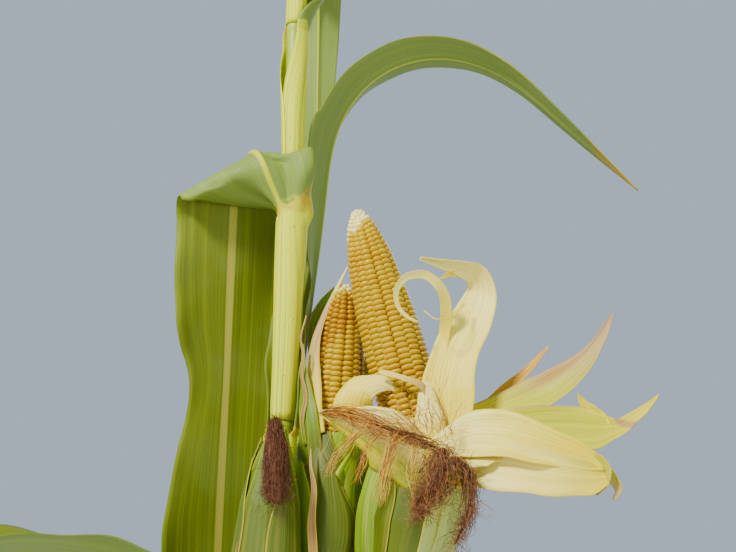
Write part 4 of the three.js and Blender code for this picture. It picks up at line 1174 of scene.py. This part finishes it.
# Shreds and small husks that stand for no solid of their own
SHREDS = [
    Husk("shred_side_flap", "white", 0.2, [7, 12, 17, 14, 5], [
        (112, -77, 1162), (124, -87.5, 1168), (142, -99, 1171), (156, -103, 1170), (165, -104, 1167),
    ], [(-0.2, -1, 0.5), (0, -1, 0.5)]),
    Husk("shred_side_curl", "curl", 0.3, [6, 6, 4, 1], [
        (226, -98, 1166), (235, -98, 1158.6), (236, -97, 1149), (230, -96, 1140),
    ], [(-0.5, -1, 0), (-0.7, -1, 0.2)]),
    Husk("shred_side_brown", "curl", 0.3, [4, 4, 3, 0.8], [
        (232, -92, 1166), (242, -92, 1153), (246.5, -93, 1144), (242, -94, 1136.5),
    ], [(-0.5, -1, 0), (-0.6, -1, 0.2)]),
    Husk("shred_side_spike", "lime", 0.3, [10, 9, 4, 0.7], [
        (242, -68, 1186), (239, -68, 1196), (232.5, -68, 1206), (227.5, -68, 1215.5),
    ], [(-0.2, -1, 0.2), (0, -1, 0.2)]),
    Husk("shred_ear_gap", "lime", 0.4, [6, 5, 4, 3, 1], [
        (66, 2, 1180), (67, 4, 1215), (70, 5, 1245), (73, 5, 1272), (69, 5, 1290.7),
    ], [(0, -1, 0), (0.1, -1, 0)]),
    Husk("shred_left_dry", "rose", 0.3, [1.6, 1.8, 1.4, 1, 0.5], [
        (22, -34, 1180), (19, -34, 1200), (21.5, -33, 1218), (17.6, -32, 1236), (18.8, -31, 1252),
        (16.4, -30, 1266), (20.3, -27, 1285),
    ], [(0.2, -1, 0), (0.4, -1, 0)]),
    Husk("shred_sheath_margin", "base", 0.3, [0.8, 2, 2.4, 2.4, 2, 1], [
        (13.5, 2, 1368), (14.5, 0, 1350), (14, -1, 1325), (13, -1, 1300), (12.5, -1, 1272), (10, -1, 1250),
    ], [(0.2, 1, 0), (0.2, 1, 0)]),
    Husk("shred_tall_point", "cream", 0.2, [3, 3, 2, 0.4], [
        (148, -58, 1311), (140, -61.5, 1311), (133, -64.5, 1309), (125, -67, 1304),
    ], [(-0.2, -1, -0.4), (-0.1, -1, -0.6)]),
    Husk("shred_thread", "tall", 0, [0.6, 0.5, 0.4, 0.4, 0.35], [
        (145, -66, 1285), (137, -78, 1274), (130, -84, 1269), (121, -86, 1268.5), (112.6, -85, 1275),
    ], [(0, -1, 0), (0, -1, 0)]),
    Husk("shred_front_rim", "cream", 0.3, [8, 10, 9, 8, 5, 1], [
        (112, -66, 1164), (100, -66, 1182), (80, -64, 1192), (60, -62, 1196), (44, -61, 1198),
        (34, -60, 1202),
    ], [(0, -1, 0.4), (0, -1, 0.3)]),
    Husk("shred_left_rose", "rose", 0.6, [2.4, 4, 3.4, 2.4, 1.3, 0.5], [
        (28, -40, 1070), (31, -46, 1096), (29.5, -50, 1122), (30.6, -49, 1146), (27.6, -47, 1163),
        (27, -44, 1177),
    ], [(-0.3, -1, 0), (-0.3, -1, 0)]),
    Husk("shred_between_cups", "base", -0.3, [6, 12, 14, 13, 9, 2], [
        (78, -38, 1056), (74, -46, 1082), (72, -52, 1108), (74, -54, 1136), (80, -54, 1162),
        (90, -58, 1180),
    ], [(-0.5, -1, 0), (-0.4, -1, 0.1)]),
    Husk("shred_behind_cups", "base", -0.2, [5, 14, 18, 18, 14, 4], [
        (60, -8, 1040), (62, -14, 1070), (64, -18, 1100), (66, -18, 1135), (70, -16, 1165),
        (74, -12, 1190),
    ], [(0, -1, 0), (0, -1, 0)]),
]


def make_husks(look):
    tones = {
        "membrane": (look.cream, look.rose, look.white, (0.09, 0.15), 14),
        "rose": (look.green, look.brown, look.rose, (0.03, 0.1), 9),
        "curl": (look.cream, look.lime, look.rose, (0.005, 0.03), 8),
        "base": (look.green, look.green, look.bright, (0.05, 0.13), 20),
        # Painted shade: the deep green foot of these husks darkens them where they lie in shadow at the foot
        # of the ears
        "green": (look.deep, look.green, look.green, (0.04, 0.1), 16),
        "cream": (look.cream, look.cream, look.white, (0.02, 0.05), 12),
        "dried": (look.cream, look.blush, look.brown, (0.02, 0.05), 8),
        "front": (look.bright, look.lime, look.yellow, (0.01, 0.1), 16),
        "tall": (look.yellow, look.cream, look.white, (0.04, 0.14), 18),
        "white": (look.cream, look.white, look.cream, (0.03, 0.12), 22),
        "lime": (look.cream, look.lime, look.cream, (0.05, 0.2), 18),
        "pointed": (look.cream, look.lime, look.rose, (0.07, 0.17), 16),
        "narrow": (look.lime, look.rust, look.rust, (0.02, 0.06), 10),
    }
    slots = {kind: "husk_green" for kind in ("green", "front", "lime", "base")}
    slots |= {kind: "husk_dry" for kind in ("pointed", "narrow", "rose")}
    for index, husk in enumerate(HUSKS + SHREDS):
        *colours, lengths, veins = tones[husk.kind]
        finish = husk_finish(
            husk.name.replace("_", " "), colours, look, 2.9 * index, lengths, veins, light=husk.light,
        )
        brown = BROWN_EDGES if husk.kind in ("green", "lime", "pointed", "front") else FAINT_EDGES
        length = husk.spine.length
        piece = sheet(
            husk.name, lambda u, v: husk.surface(u, v, look.crinkle, 1.7 * index),
            (HUSK_COLUMNS, max(HUSK_FEWEST_ROWS, round(length / HUSK_ROW))), lambda u, v: look.thickness,
            lambda u: u * length * MM, look.thickness, lambda u, v: husk.age(u, v, index, brown),
        )
        nodes = (husk.name,) if husk in HUSKS else ()
        finish_piece(piece, [finish], slots.get(husk.kind, "husk_pale"), nodes)


# Shanks: the radius at both ends and the middle line of each, and the joints that all of them have
SHANKS = {
    "shank_right_ear": ((5.5, 7.5), [
        (6, -7, 1003), (36, -30, 1000), (68, -36, 1022), (82, -36.5, 1046), (85.8, -37, 1059.7),
    ]),
    "shank_left_ear": ((5, 7.5), [
        (7, 3, 999), (19, 0, 1001), (24, -8, 1018), (24.5, -14, 1038), (24, -16, 1055.7),
    ]),
    "shank_closed_ear": ((5, 6.5), [(-3, -7, 996), (-8, -22, 984), (-11, -36, 979), (-10.2, -42, 991.7)]),
}
SHANK_JOINTS = [0.2, 0.42, 0.63, 0.82]
JOINT_OUT, JOINT_WIDTH = 0.7, 0.018
SHANK_GRID = (24, 80)


def make_shanks(look):
    for name, ((low, high), path) in SHANKS.items():
        def radius(u, turn):
            rings = sum(JOINT_OUT * bell(u - joint, JOINT_WIDTH) for joint in SHANK_JOINTS)
            return lerp(low, high, u) * 0.96 + rings

        piece = limb(name, Spine(path), radius, *SHANK_GRID)
        colours = (look.green, look.bright, look.green)
        finish = husk_finish(name.replace("_", " "), colours, look, 4.4, (0.03, 0.08), 20)
        finish_piece(piece, [finish], "husk_green", (name,))


# Silk

THREAD_STEPS = 14
BUNDLE_SIDE = Vector((0.1, -1, 0.2))
CORE_SIDES, CORE_STEPS = 18, 30


def wander(rng, start, heading, length, curl, sag):
    """A thread that keeps its heading loosely, turns at random and sags"""
    points = [start]
    forward = heading.normalized()
    for _ in range(THREAD_STEPS):
        forward = forward + scatter(rng.uniform, -1, 1) * curl + Vector((0, 0, -sag))
        forward.normalize()
        points.append(points[-1] + forward * length / THREAD_STEPS)
    return points


def bundle(rng, path, radii, count, loose, reach=(0.5, 1.0)):
    """Threads that follow a bundle's path, each in its own place across it and with its own waviness"""
    spine = Spine(path)
    routes = []
    for _ in range(count):
        span = rng.uniform(*reach)
        start = rng.uniform(0, 1 - span)
        turn, out = rng.uniform(0, 2 * math.pi), math.sqrt(rng.random())
        phase, twist = rng.uniform(0, 6), rng.uniform(-2.5, 2.5)
        points = []
        for i in range(THREAD_STEPS + 1):
            share = start + span * i / THREAD_STEPS
            first, second = square_frame(spine.forward(share), BUNDLE_SIDE)
            r = read_off(radii, share) * out + loose * math.sin(phase + 11 * share) * share
            points.append(spine.point(share) + r * around(turn + twist * share, first, second))
        routes.append(points)
    return routes


# Each bundle: its middle line, and its radius along it
SILK_BUNDLES = {
    "silk_closed_ear": (
        [(0, -45, 1199), (1, -60, 1189), (3, -71, 1164), (5, -74, 1135)],
        [(0, 2), (0.25, 4.5), (0.6, 9), (0.9, 12), (1, 12)],
    ),
    "silk_swath": (
        [(34, -58, 1202), (54, -85, 1199), (76, -101, 1189), (95, -110, 1180), (114, -116, 1172)],
        [(0, 1), (0.3, 5), (1, 6)],
    ),
    "silk_tangle": (
        [(122, -118, 1170), (119, -121, 1155), (112, -121, 1141), (104, -113, 1130)],
        [(0, 7), (0.3, 14), (0.65, 10.5), (1, 4)],
    ),
    "silk_strand": (
        [(128, -117, 1164), (138, -117, 1153), (139, -113, 1130), (129, -108, 1107)],
        [(0, 3), (0.5, 5.5), (1, 4)],
    ),
}
SWATH_END = (122, -118, 1170)
DARK_SWATH = [(0, 2), (0.4, 3), (1, 5)]
PALE_SWATH = [(0, 2), (0.5, 9), (1, 9)]

# Each tuft of dried silk: how many combed and curly threads it has, how loose and how curly they are, the
# lengths of the curly ones, and how thick its core is
TUFTS = {
    "silk_closed_ear": (480, 720, 1.6, 0.45, (5, 12), 0.72),
    "silk_tangle": (120, 640, 6.0, 0.8, (8, 24), 0.3),
    "silk_strand": (80, 240, 4.0, 0.6, (8, 24), 0.3),
}

# Locks of fresh silk that hang from the swath over the front husk and the foot of the ears: each one's middle
# line, its radius along it, and its number of threads
SILK_LOCKS = [
    ([(70, -99, 1186), (60, -101, 1178), (48, -100, 1165), (41, -98, 1150)], [(0, 1), (0.5, 4), (1, 6)], 26),
    ([(82, -106, 1184), (72, -108, 1174), (66, -107, 1160), (62, -104, 1146)], [(0, 1), (1, 5)], 14),
    (
        [(91, -110, 1181), (86, -111, 1168), (82, -107, 1150), (78, -103, 1132)],
        [(0, 2), (0.4, 5), (1, 6)], 46,
    ),
    ([(104, -115, 1178), (101, -114, 1160), (102, -112, 1142), (107, -110, 1126)], [(0, 2), (1, 5)], 16),
]

# Threads at a thread share of 100%: the dark and the pale ones along the swath, those that hang from it, and
# those that stand up from its end
DARK_THREADS, PALE_THREADS, HANGING_THREADS, STANDING_THREADS = 130, 95, 40, 60


def add_silk(name, routes, finishes, slot, radius, rng, nodes=()):
    shades = [rng.randrange(len(finishes)) for _ in routes]
    finish_piece(threads(name, routes, radius, shades), finishes, slot, nodes)


def silk_core(name, finish, slim):
    """The dense middle of a tuft, an uneven body that the threads hide"""
    path, radii = SILK_BUNDLES[name]

    def radius(u, turn):
        uneven = 1 + 0.22 * math.sin(3 * turn + 9 * u) + 0.14 * math.sin(7 * turn - 20 * u)
        return read_off(radii, u) * slim * math.sqrt(1.02 - u ** 6) * uneven

    finish_piece(limb(f"{name}_core", Spine(path), radius, CORE_SIDES, CORE_STEPS), [finish], "silk_dark")


def make_silks(look):
    dark, red, light = (
        plain_finish(f"silk {name}", colour, roughness, other, 300, specular=specular)
        for name, colour, roughness, other, specular in (
            ("dark", look.dark, 0.7, look.red, 0.2), ("red", look.red, 0.65, look.dark, 0.3),
            ("light", look.light, 0.6, look.red, 0.3),
        )
    )
    blond = plain_finish("silk blond", look.blond, 0.5, look.amber, 200)
    amber = plain_finish("silk amber", look.amber, 0.5, look.red, 200)
    rng = random.Random(41)
    share = look.threads / 100
    for name, (combed, curly, loose, curl, lengths, slim) in TUFTS.items():
        path, radii = SILK_BUNDLES[name]
        routes = bundle(rng, path, radii, round(combed * share), loose)
        closed = name == "silk_closed_ear"
        silk_core(name, dark if closed else red, slim)
        spine = Spine(path)
        for _ in range(round(curly * share)):
            place = rng.random()
            aside = scatter(rng.gauss, 0, 0.5)
            start = spine.point(place) + read_off(radii, place) * aside
            heading = spine.forward(place) + scatter(rng.gauss, 0, 0.6)
            routes.append(wander(rng, start, heading, rng.uniform(*lengths), curl, 0.05))
        # Partly painted highlight: the red brown and light brown threads among the dark ones are the silk's
        # own lighter strands and stand in for highlights on it
        shades = [dark, dark, red] if closed else [dark, red, red, light, light, light, amber]
        add_silk(name, routes, shades, "silk_dark", look.thread, rng, (name,))

    path, _ = SILK_BUNDLES["silk_swath"]
    routes = bundle(rng, [*path[1:], SWATH_END], DARK_SWATH, round(DARK_THREADS * share), 2.0, (0.3, 0.9))
    # Partly painted highlight: the red brown and light brown threads stand in for light on the dark swath
    add_silk("silk_swath_dark", routes, [dark, red, light], "silk_dark", look.thread, rng)
    routes = bundle(rng, path, PALE_SWATH, round(PALE_THREADS * share), 5.0)
    spine = Spine(path)
    for _ in range(round(HANGING_THREADS * share)):
        place = rng.uniform(0.15, 1.0)
        start = spine.point(place) + Vector((rng.uniform(-4, 4), -5 - 3 * rng.random(), rng.uniform(-6, 3)))
        heading = Vector((rng.uniform(-1.3, 0.3), -0.25, rng.uniform(-1.2, 0.1)))
        routes.append(wander(rng, start, heading, rng.uniform(14, 42), 0.2, 0.12))
    locks = []
    for line, radii, count in SILK_LOCKS:
        locks += bundle(rng, line, radii, round(count * share), 2.5, (0.6, 1.0))
    straw = plain_finish("silk straw", look.straw, 0.5, look.blond, 200)
    add_silk("silk_locks", locks, [straw, blond, amber], "silk_pale", look.thread, rng)
    for _ in range(round(STANDING_THREADS * share)):
        start = Vector((rng.uniform(92, 130), -112, rng.uniform(1176, 1190)))
        heading = Vector((rng.uniform(-0.9, 0.3), -0.3, 1.0))
        routes.append(wander(rng, start, heading, rng.uniform(12, 52), 0.26, 0.05))
    add_silk("silk_swath", routes, [blond, amber], "silk_pale", look.thread, rng, ("silk_swath",))


# Tassel

TURN_TO_NEXT = 2.4  # radians from one branch to the next
BRANCH_STEPS = 8
STALK_GRID = (8, 24)
PURPLE_SHARE = 0.35

# The spike and the branches: the stalk's radius, how many spikelets stand in a group, and how far along the
# first group stands, as a share of the spike's length and in millimetres on a branch
SPIKE_RADIUS, SPIKE_GROUP, SPIKE_BARE = 3.0, 6, 0.3
BRANCH_RADIUS, BRANCH_GROUP, BRANCH_BARE = 1.3, 3, 12


def spikelet_shape():
    """One spikelet, 1 long and slim: a pointed husk of six sides"""
    bpy.ops.object.select_all(action="DESELECT")
    bpy.ops.mesh.primitive_uv_sphere_add(segments=6, ring_count=5, radius=0.5, location=(0, 0, 0.5))
    grain = bpy.context.object
    grain.data.transform(grain.matrix_world)
    for vertex in grain.data.vertices:
        slim = 0.3 * (1 - 0.35 * vertex.co.z)
        vertex.co.x *= slim
        vertex.co.y *= slim
    mesh = grain.data.copy()
    bpy.data.objects.remove(grain)
    return mesh


def swing(seed):
    """A repeatable number from -1 to 1 for a seed"""
    x = math.sin(seed * 127.1 + 11.7) * 43758.5453
    return 2 * (x - math.floor(x)) - 1


def spike_spine():
    foot = stem_centre(STEM_TOP)
    return Spine([
        (foot.x, foot.y, STEM_TOP + GAP), (foot.x + 1, foot.y, STEM_TOP + 130),
        (foot.x + 8, foot.y + 3, STEM_TOP + 240), (foot.x + 26, foot.y + 8, TASSEL_TOP - 4),
    ])


def branch_spine(index):
    """A branch's line: the upper branches are shorter, steeper and hang less"""
    foot = stem_centre(STEM_TOP)
    share = index / (TASSEL_BRANCHES - 1)
    turn = index * TURN_TO_NEXT + 0.5 * swing(index)
    length = lerp(230, 130, share) + 14 * swing(index + 30)
    lean = lerp(66, 24, share) + 8 * swing(index + 60)
    droop = lerp(88, 30, share)
    walker = Vector((foot.x, foot.y, STEM_TOP + 12 + TASSEL_CROWN * share))
    points = []
    for i in range(BRANCH_STEPS + 1):
        points.append(walker.copy())
        tilt = math.radians(lean * smooth(i + 2, 0, 4) + droop * (i / BRANCH_STEPS) ** 1.5)
        walker = walker + tilted(tilt, turn) * length / BRANCH_STEPS
    return Spine(points)


def add_spikelets(name, spine, along, group, look, pattern, finishes, rng):
    """Groups of spikelets round a stalk, from a distance along it to its tip"""
    matrices, shades = [], []
    while along < spine.length - 4:
        share = along / spine.length
        forward = spine.forward(share)
        for turn in range(group):
            angle = 2 * math.pi * turn / group + along * 0.9 + rng.uniform(-0.3, 0.3)
            out = around(angle, *square_frame(forward, Vector((0.3, -1, 0.1))))
            rise = (forward + out * rng.uniform(0.25, 0.6) + Vector((0, 0, -0.15))).normalized()
            length = look.spikelet * rng.uniform(0.8, 1.1) * (1 - 0.25 * share)
            place = spine.point(share) + out * 0.6
            matrices.append(placed(place, (*square_frame(rise, out), rise), (length,) * 3))
            shades.append(int(rng.random() < PURPLE_SHARE))
        along += look.spacing
    finish_piece(copies(name, pattern, matrices, shades), finishes, "tassel", (name,))


def make_tassel(look):
    rng = random.Random(17)
    pattern = spikelet_shape()
    stalk = plain_finish("tassel stalk", look.stalk, 0.6)
    tan = plain_finish("spikelet tan", look.tan, 0.7)
    purple = plain_finish("spikelet purple", look.purple, 0.7)
    spike = spike_spine()
    limbs = [("tassel_spike", spike, SPIKE_RADIUS, SPIKE_GROUP, SPIKE_BARE * spike.length)]
    for index in range(TASSEL_BRANCHES):
        name = f"tassel_branch_{index + 1}"
        limbs.append((name, branch_spine(index), BRANCH_RADIUS, BRANCH_GROUP, BRANCH_BARE))
    for name, spine, thick, group, bare in limbs:
        rod = limb(f"{name}_stalk", spine, lambda u, turn: thick * (1 - 0.7 * u) + 0.3, *STALK_GRID)
        finish_piece(rod, [stalk], "tassel")
        add_spikelets(name, spine, bare, group, look, pattern, [tan, purple], rng)


# Settings

def colour_setting(name, description, code):
    return FloatVectorProperty(
        name=name, description=description, default=paint(code), subtype="COLOR", size=3, min=0, max=1,
    )


def size_setting(name, description, default, low, high):
    described = description + ", in millimetres"
    return FloatProperty(name=name, description=described, default=default, min=low, max=high)


def power_setting(name, description, default):
    described = description + ", in watts"
    return FloatProperty(name=name, description=described, default=default, min=0, max=2000)


class StemLook(bpy.types.PropertyGroup):
    green: colour_setting("Green", "Internodes above the ground", 0xA6B552)
    purple: colour_setting("Purple", "Tinge of the lowest joints and the brace roots", 0x6E4A3A)


class LeafLook(bpy.types.PropertyGroup):
    upper: colour_setting("Upper side", "Deep green of the blade's upper side", 0x687014)
    lower: colour_setting("Lower side", "Greyer green of the blade's underside", 0x7C8C50)
    young: colour_setting("Yellow green", "Lighter streaks", 0x9BA62C)
    shade: colour_setting("Between veins", "What darkens the strips between the veins", 0x98A286)
    rib: colour_setting("Rib", "Midrib on the upper side", 0xACA45E)
    keel: colour_setting("Keel", "Midrib on the underside", 0xBFC252)
    sheath: colour_setting("Sheath", "Sheath round the stem", 0xE8E84A)
    collar: colour_setting("Collar", "Band where the blade leaves the sheath", 0xCC9450)
    withered: colour_setting("Withered", "Dry tips, margins and spots", 0xA87F4A)
    blade: size_setting("Blade", "Thickness of the blade", 0.8, 0.3, 2)
    rib_height: size_setting("Rib height", "How far the rib stands out of the underside", 2.6, 0, 5)
    groove: size_setting("Groove", "Depth of the channel over the rib", 1.0, 0, 3)
    frill: size_setting("Frill", "Height of the short waves along the margins", 2.4, 0, 8)
    frill_length: size_setting("Frill length", "Length of the short waves", 58.0, 20, 200)


class EarLook(bpy.types.PropertyGroup):
    rows: IntProperty(name="Rows", description="Rows of kernels round an ear", default=14, min=8, max=20)
    pitch: size_setting("Kernel pitch", "Distance from kernel to kernel along a row", 4.5, 3, 8)
    depth: size_setting("Kernel depth", "How far a kernel stands out of the cob", 9.0, 4, 14)
    tip: colour_setting("Tip", "Unfilled kernels at the tip", 0xFAEDB4)
    pale: colour_setting("Pale", "Kernels just below the tip", 0xC4AA1C)
    yellow: colour_setting("Yellow", "Most kernels", 0xBCA000)
    golden: colour_setting("Golden", "Riper kernels", 0xBC9C00)
    deep: colour_setting("Deep", "Ripest kernels", 0xBA9600)
    # Painted shadow: the left ear's upper kernels, darkened where a shadow falls on them, with the tint of
    # the thin husk over them
    shaded: colour_setting("Under membrane", "Kernels seen under a thin husk", 0xA88028)
    cob: colour_setting("Cob", "Cob between the kernels", 0x946200)


class HuskLook(bpy.types.PropertyGroup):
    # Partly painted shade: besides the outermost husks, it darkens the green husks' feet, the closed ear's
    # wraps and the striped wraps' feet where they lie in shadow
    deep: colour_setting("Deep green", "Outermost husks", 0x566208)
    green: colour_setting("Green", "Outer husks", 0x6A821A)
    bright: colour_setting("Bright green", "Yellow-green husks in the light", 0x90AA1A)
    lime: colour_setting("Lime", "Pale yellow-green husks", 0xB8BA2E)
    grey: colour_setting("Grey green", "Waxy outer husks", 0xA3B070)
    cream: colour_setting("Cream", "Inner husks", 0xE9D666)
    white: colour_setting("White", "Innermost husks", 0xF4E89C)
    yellow: colour_setting("Pale yellow", "Foot of the tall husk", 0xEADC58)
    blush: colour_setting("Blush", "Broad warm patches", 0xE2CC84)
    rose: colour_setting("Rose", "Husks that dry with a pink tinge", 0xB79A78)
    brown: colour_setting("Brown", "Dry edges and tips", 0xB09064)
    rust: colour_setting("Rust", "Husks that dry orange-brown", 0xCFA158)
    vein: colour_setting("Between veins", "What darkens the strips between the veins", 0xD0CA9C)
    crinkle: size_setting("Crinkle", "Depth of the pleats and wavy margins", 0.9, 0, 4)
    thickness: size_setting("Thickness", "Thickness of a pulled husk", 0.7, 0.3, 2)


class SilkLook(bpy.types.PropertyGroup):
    dark: colour_setting("Dark", "Dried silk", 0x442C22)
    red: colour_setting("Red brown", "Dried silk in the light", 0x7A5440)
    # Painted highlight, with the red brown above: the lightest threads stand for dried silk that catches the
    # light
    light: colour_setting("Light brown", "The lightest of the dried silk", 0xAC8660)
    straw: colour_setting("Straw", "The freshest silk", 0xF2DE84)
    blond: colour_setting("Blond", "Fresh silk", 0xE0C070)
    amber: colour_setting("Amber", "Silk that begins to dry", 0xB9753A)
    thread: size_setting("Thread", "Radius of a thread", 0.22, 0.1, 1)
    threads: IntProperty(
        name="Threads", description="Share of the full number of threads, in percent", default=100, min=10,
        max=200, subtype="PERCENTAGE",
    )


class TasselLook(bpy.types.PropertyGroup):
    stalk: colour_setting("Stalk", "Spike and branches", 0xA8A060)
    tan: colour_setting("Tan", "Most spikelets", 0xC09A6C)
    purple: colour_setting("Purple", "Spikelets with a purple tinge", 0x8E5F55)
    spikelet: size_setting("Spikelet", "Length of a spikelet", 9.5, 4, 16)
    spacing: size_setting("Spacing", "Distance between groups of spikelets", 5.5, 3, 16)


class StageLook(bpy.types.PropertyGroup):
    floor: colour_setting("Floor", "Plain pale floor", 0xE4E4E0)
    sky: colour_setting("Backdrop", "Plain pale surroundings", 0xD2DFEC)
    key: power_setting("Key light", "Strength of the large front light", 220)
    fill: power_setting("Fill light", "Strength of the fill light", 31)
    lens: FloatProperty(
        name="Lens", description="Focal length of the camera on a 36 mm sensor", default=44.02, min=10,
        max=200, subtype="DISTANCE_CAMERA",
    )


LOOKS = {
    "maize_stem": StemLook, "maize_leaf": LeafLook, "maize_ear": EarLook, "maize_husk": HuskLook,
    "maize_silk": SilkLook, "maize_tassel": TasselLook, "maize_stage": StageLook,
}


# Operators

class MAIZE_OT_stem(bpy.types.Operator):
    """Models the jointed stem and its brace roots"""
    bl_idname = "maize.stem"
    bl_label = "Stem"

    def execute(self, context):
        make_stem(context.scene.maize_stem)
        return {"FINISHED"}


class MAIZE_OT_leaves(bpy.types.Operator):
    """Models every leaf, from the foot of its sheath to the tip of its blade"""
    bl_idname = "maize.leaves"
    bl_label = "Leaves"

    def execute(self, context):
        for node in range(FIRST_LEAF_NODE, len(NODE_HEIGHTS) + 1):
            make_leaf(node, context.scene.maize_leaf)
        return {"FINISHED"}


class MAIZE_OT_ears(bpy.types.Operator):
    """Models the kernels and cobs of the two opened ears"""
    bl_idname = "maize.ears"
    bl_label = "Ears"

    def execute(self, context):
        look = context.scene.maize_ear
        pattern = kernel_shape()
        make_ear("ear_right", RIGHT_EAR, look, pattern, 3)
        make_ear("ear_left", LEFT_EAR, look, pattern, 8)
        return {"FINISHED"}


class MAIZE_OT_wraps(bpy.types.Operator):
    """Models the husks that still wrap the three ears"""
    bl_idname = "maize.wraps"
    bl_label = "Wrapped husks"

    def execute(self, context):
        make_wraps(context.scene.maize_husk)
        return {"FINISHED"}


class MAIZE_OT_husks(bpy.types.Operator):
    """Models the husks that have been pulled down"""
    bl_idname = "maize.husks"
    bl_label = "Pulled husks"

    def execute(self, context):
        make_husks(context.scene.maize_husk)
        return {"FINISHED"}


class MAIZE_OT_shanks(bpy.types.Operator):
    """Models the short stems that join the ears to the stem"""
    bl_idname = "maize.shanks"
    bl_label = "Shanks"

    def execute(self, context):
        make_shanks(context.scene.maize_husk)
        return {"FINISHED"}


class MAIZE_OT_silks(bpy.types.Operator):
    """Models the dried silk as loose threads"""
    bl_idname = "maize.silks"
    bl_label = "Silk"

    def execute(self, context):
        make_silks(context.scene.maize_silk)
        return {"FINISHED"}


class MAIZE_OT_tassel(bpy.types.Operator):
    """Models the tassel with its rows of spikelets"""
    bl_idname = "maize.tassel"
    bl_label = "Tassel"

    def execute(self, context):
        make_tassel(context.scene.maize_tassel)
        return {"FINISHED"}


# The stage, in metres: the floor just under the stem's foot, and each light's place, target and size
FLOOR_RADIUS, FLOOR_BELOW, FLOOR_SIDES = 14, 0.001, 96
LIGHTS = {
    "key": ((-1.7, -2.3, 3.3), (0.05, 0, 1.2), 0.55),
    "fill": ((2.4, -2.2, 1.7), (0, 0, 1.2), 2.0),
    "back": ((1.4, 2.8, 3.0), (0, 0, 1.3), 2.0),
}
SKY_STRENGTH = 0.72
CAMERA_PLACE = (0.0706, -0.741, 1.114)
CAMERA_PITCH = 106  # degrees from straight down, so it looks up a little
SENSOR = 36
NEAREST_SEEN = 0.02


def area_light(name, power):
    place, target, size = LIGHTS[name]
    bpy.ops.object.light_add(type="AREA", location=place)
    lamp = bpy.context.object
    lamp.name = name
    lamp.data.energy = power
    lamp.data.size = size
    lamp.rotation_euler = (Vector(target) - Vector(place)).to_track_quat("-Z", "Y").to_euler()


class MAIZE_OT_stage(bpy.types.Operator):
    """Adds the floor, the soft light and the camera"""
    bl_idname = "maize.stage"
    bl_label = "Stage"

    def execute(self, context):
        look = context.scene.maize_stage
        bpy.ops.object.select_all(action="DESELECT")
        bpy.ops.mesh.primitive_circle_add(
            vertices=FLOOR_SIDES, radius=FLOOR_RADIUS, fill_type="NGON", location=(0, 0, -FLOOR_BELOW),
        )
        floor = context.object
        floor.name = "floor"
        floor.data.materials.append(plain_finish("floor", look.floor, 0.8, look.floor, 2.0, 0.0))
        floor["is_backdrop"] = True
        context.scene.world = bpy.data.worlds.new("surroundings")
        context.scene.world.use_nodes = True
        backdrop = context.scene.world.node_tree.nodes["Background"]
        backdrop.inputs["Color"].default_value = (*look.sky, 1)
        backdrop.inputs["Strength"].default_value = SKY_STRENGTH
        for name, power in (("key", look.key), ("fill", look.fill), ("back", look.fill)):
            area_light(name, power)
        bpy.ops.object.camera_add(location=CAMERA_PLACE, rotation=(math.radians(CAMERA_PITCH), 0, 0))
        camera = context.object
        camera.data.sensor_width = SENSOR
        camera.data.lens = look.lens
        camera.data.clip_start = NEAREST_SEEN
        context.scene.camera = camera
        return {"FINISHED"}


OPERATORS = [
    MAIZE_OT_stem, MAIZE_OT_leaves, MAIZE_OT_ears, MAIZE_OT_wraps, MAIZE_OT_husks, MAIZE_OT_shanks,
    MAIZE_OT_silks, MAIZE_OT_tassel, MAIZE_OT_stage,
]


class MAIZE_PT_parts(bpy.types.Panel):
    """Lists the parts of the plant and their settings"""
    bl_label = "Maize plant"
    bl_idname = "MAIZE_PT_parts"
    bl_space_type = "VIEW_3D"
    bl_region_type = "UI"
    bl_category = "Maize"

    def draw(self, context):
        for operator in OPERATORS:
            self.layout.operator(operator.bl_idname)
        for name, look in LOOKS.items():
            box = self.layout.box()
            for setting in look.__annotations__:
                box.prop(getattr(context.scene, name), setting)


def register():
    for made in (*LOOKS.values(), *OPERATORS, MAIZE_PT_parts):
        bpy.utils.register_class(made)
    for name, look in LOOKS.items():
        setattr(bpy.types.Scene, name, PointerProperty(type=look))


def unregister():
    for name in LOOKS:
        delattr(bpy.types.Scene, name)
    for made in reversed((*LOOKS.values(), *OPERATORS, MAIZE_PT_parts)):
        bpy.utils.unregister_class(made)


def main():
    register()
    solids_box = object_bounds()
    for operator in OPERATORS:
        area, name = operator.bl_idname.split(".")
        getattr(getattr(bpy.ops, area), name)()
    boxes = {"cad": solids_box, "visual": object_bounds()}
    {key: [list(corner) for corner in box] for key, box in boxes.items()}


if __name__ == "__main__":
    main()
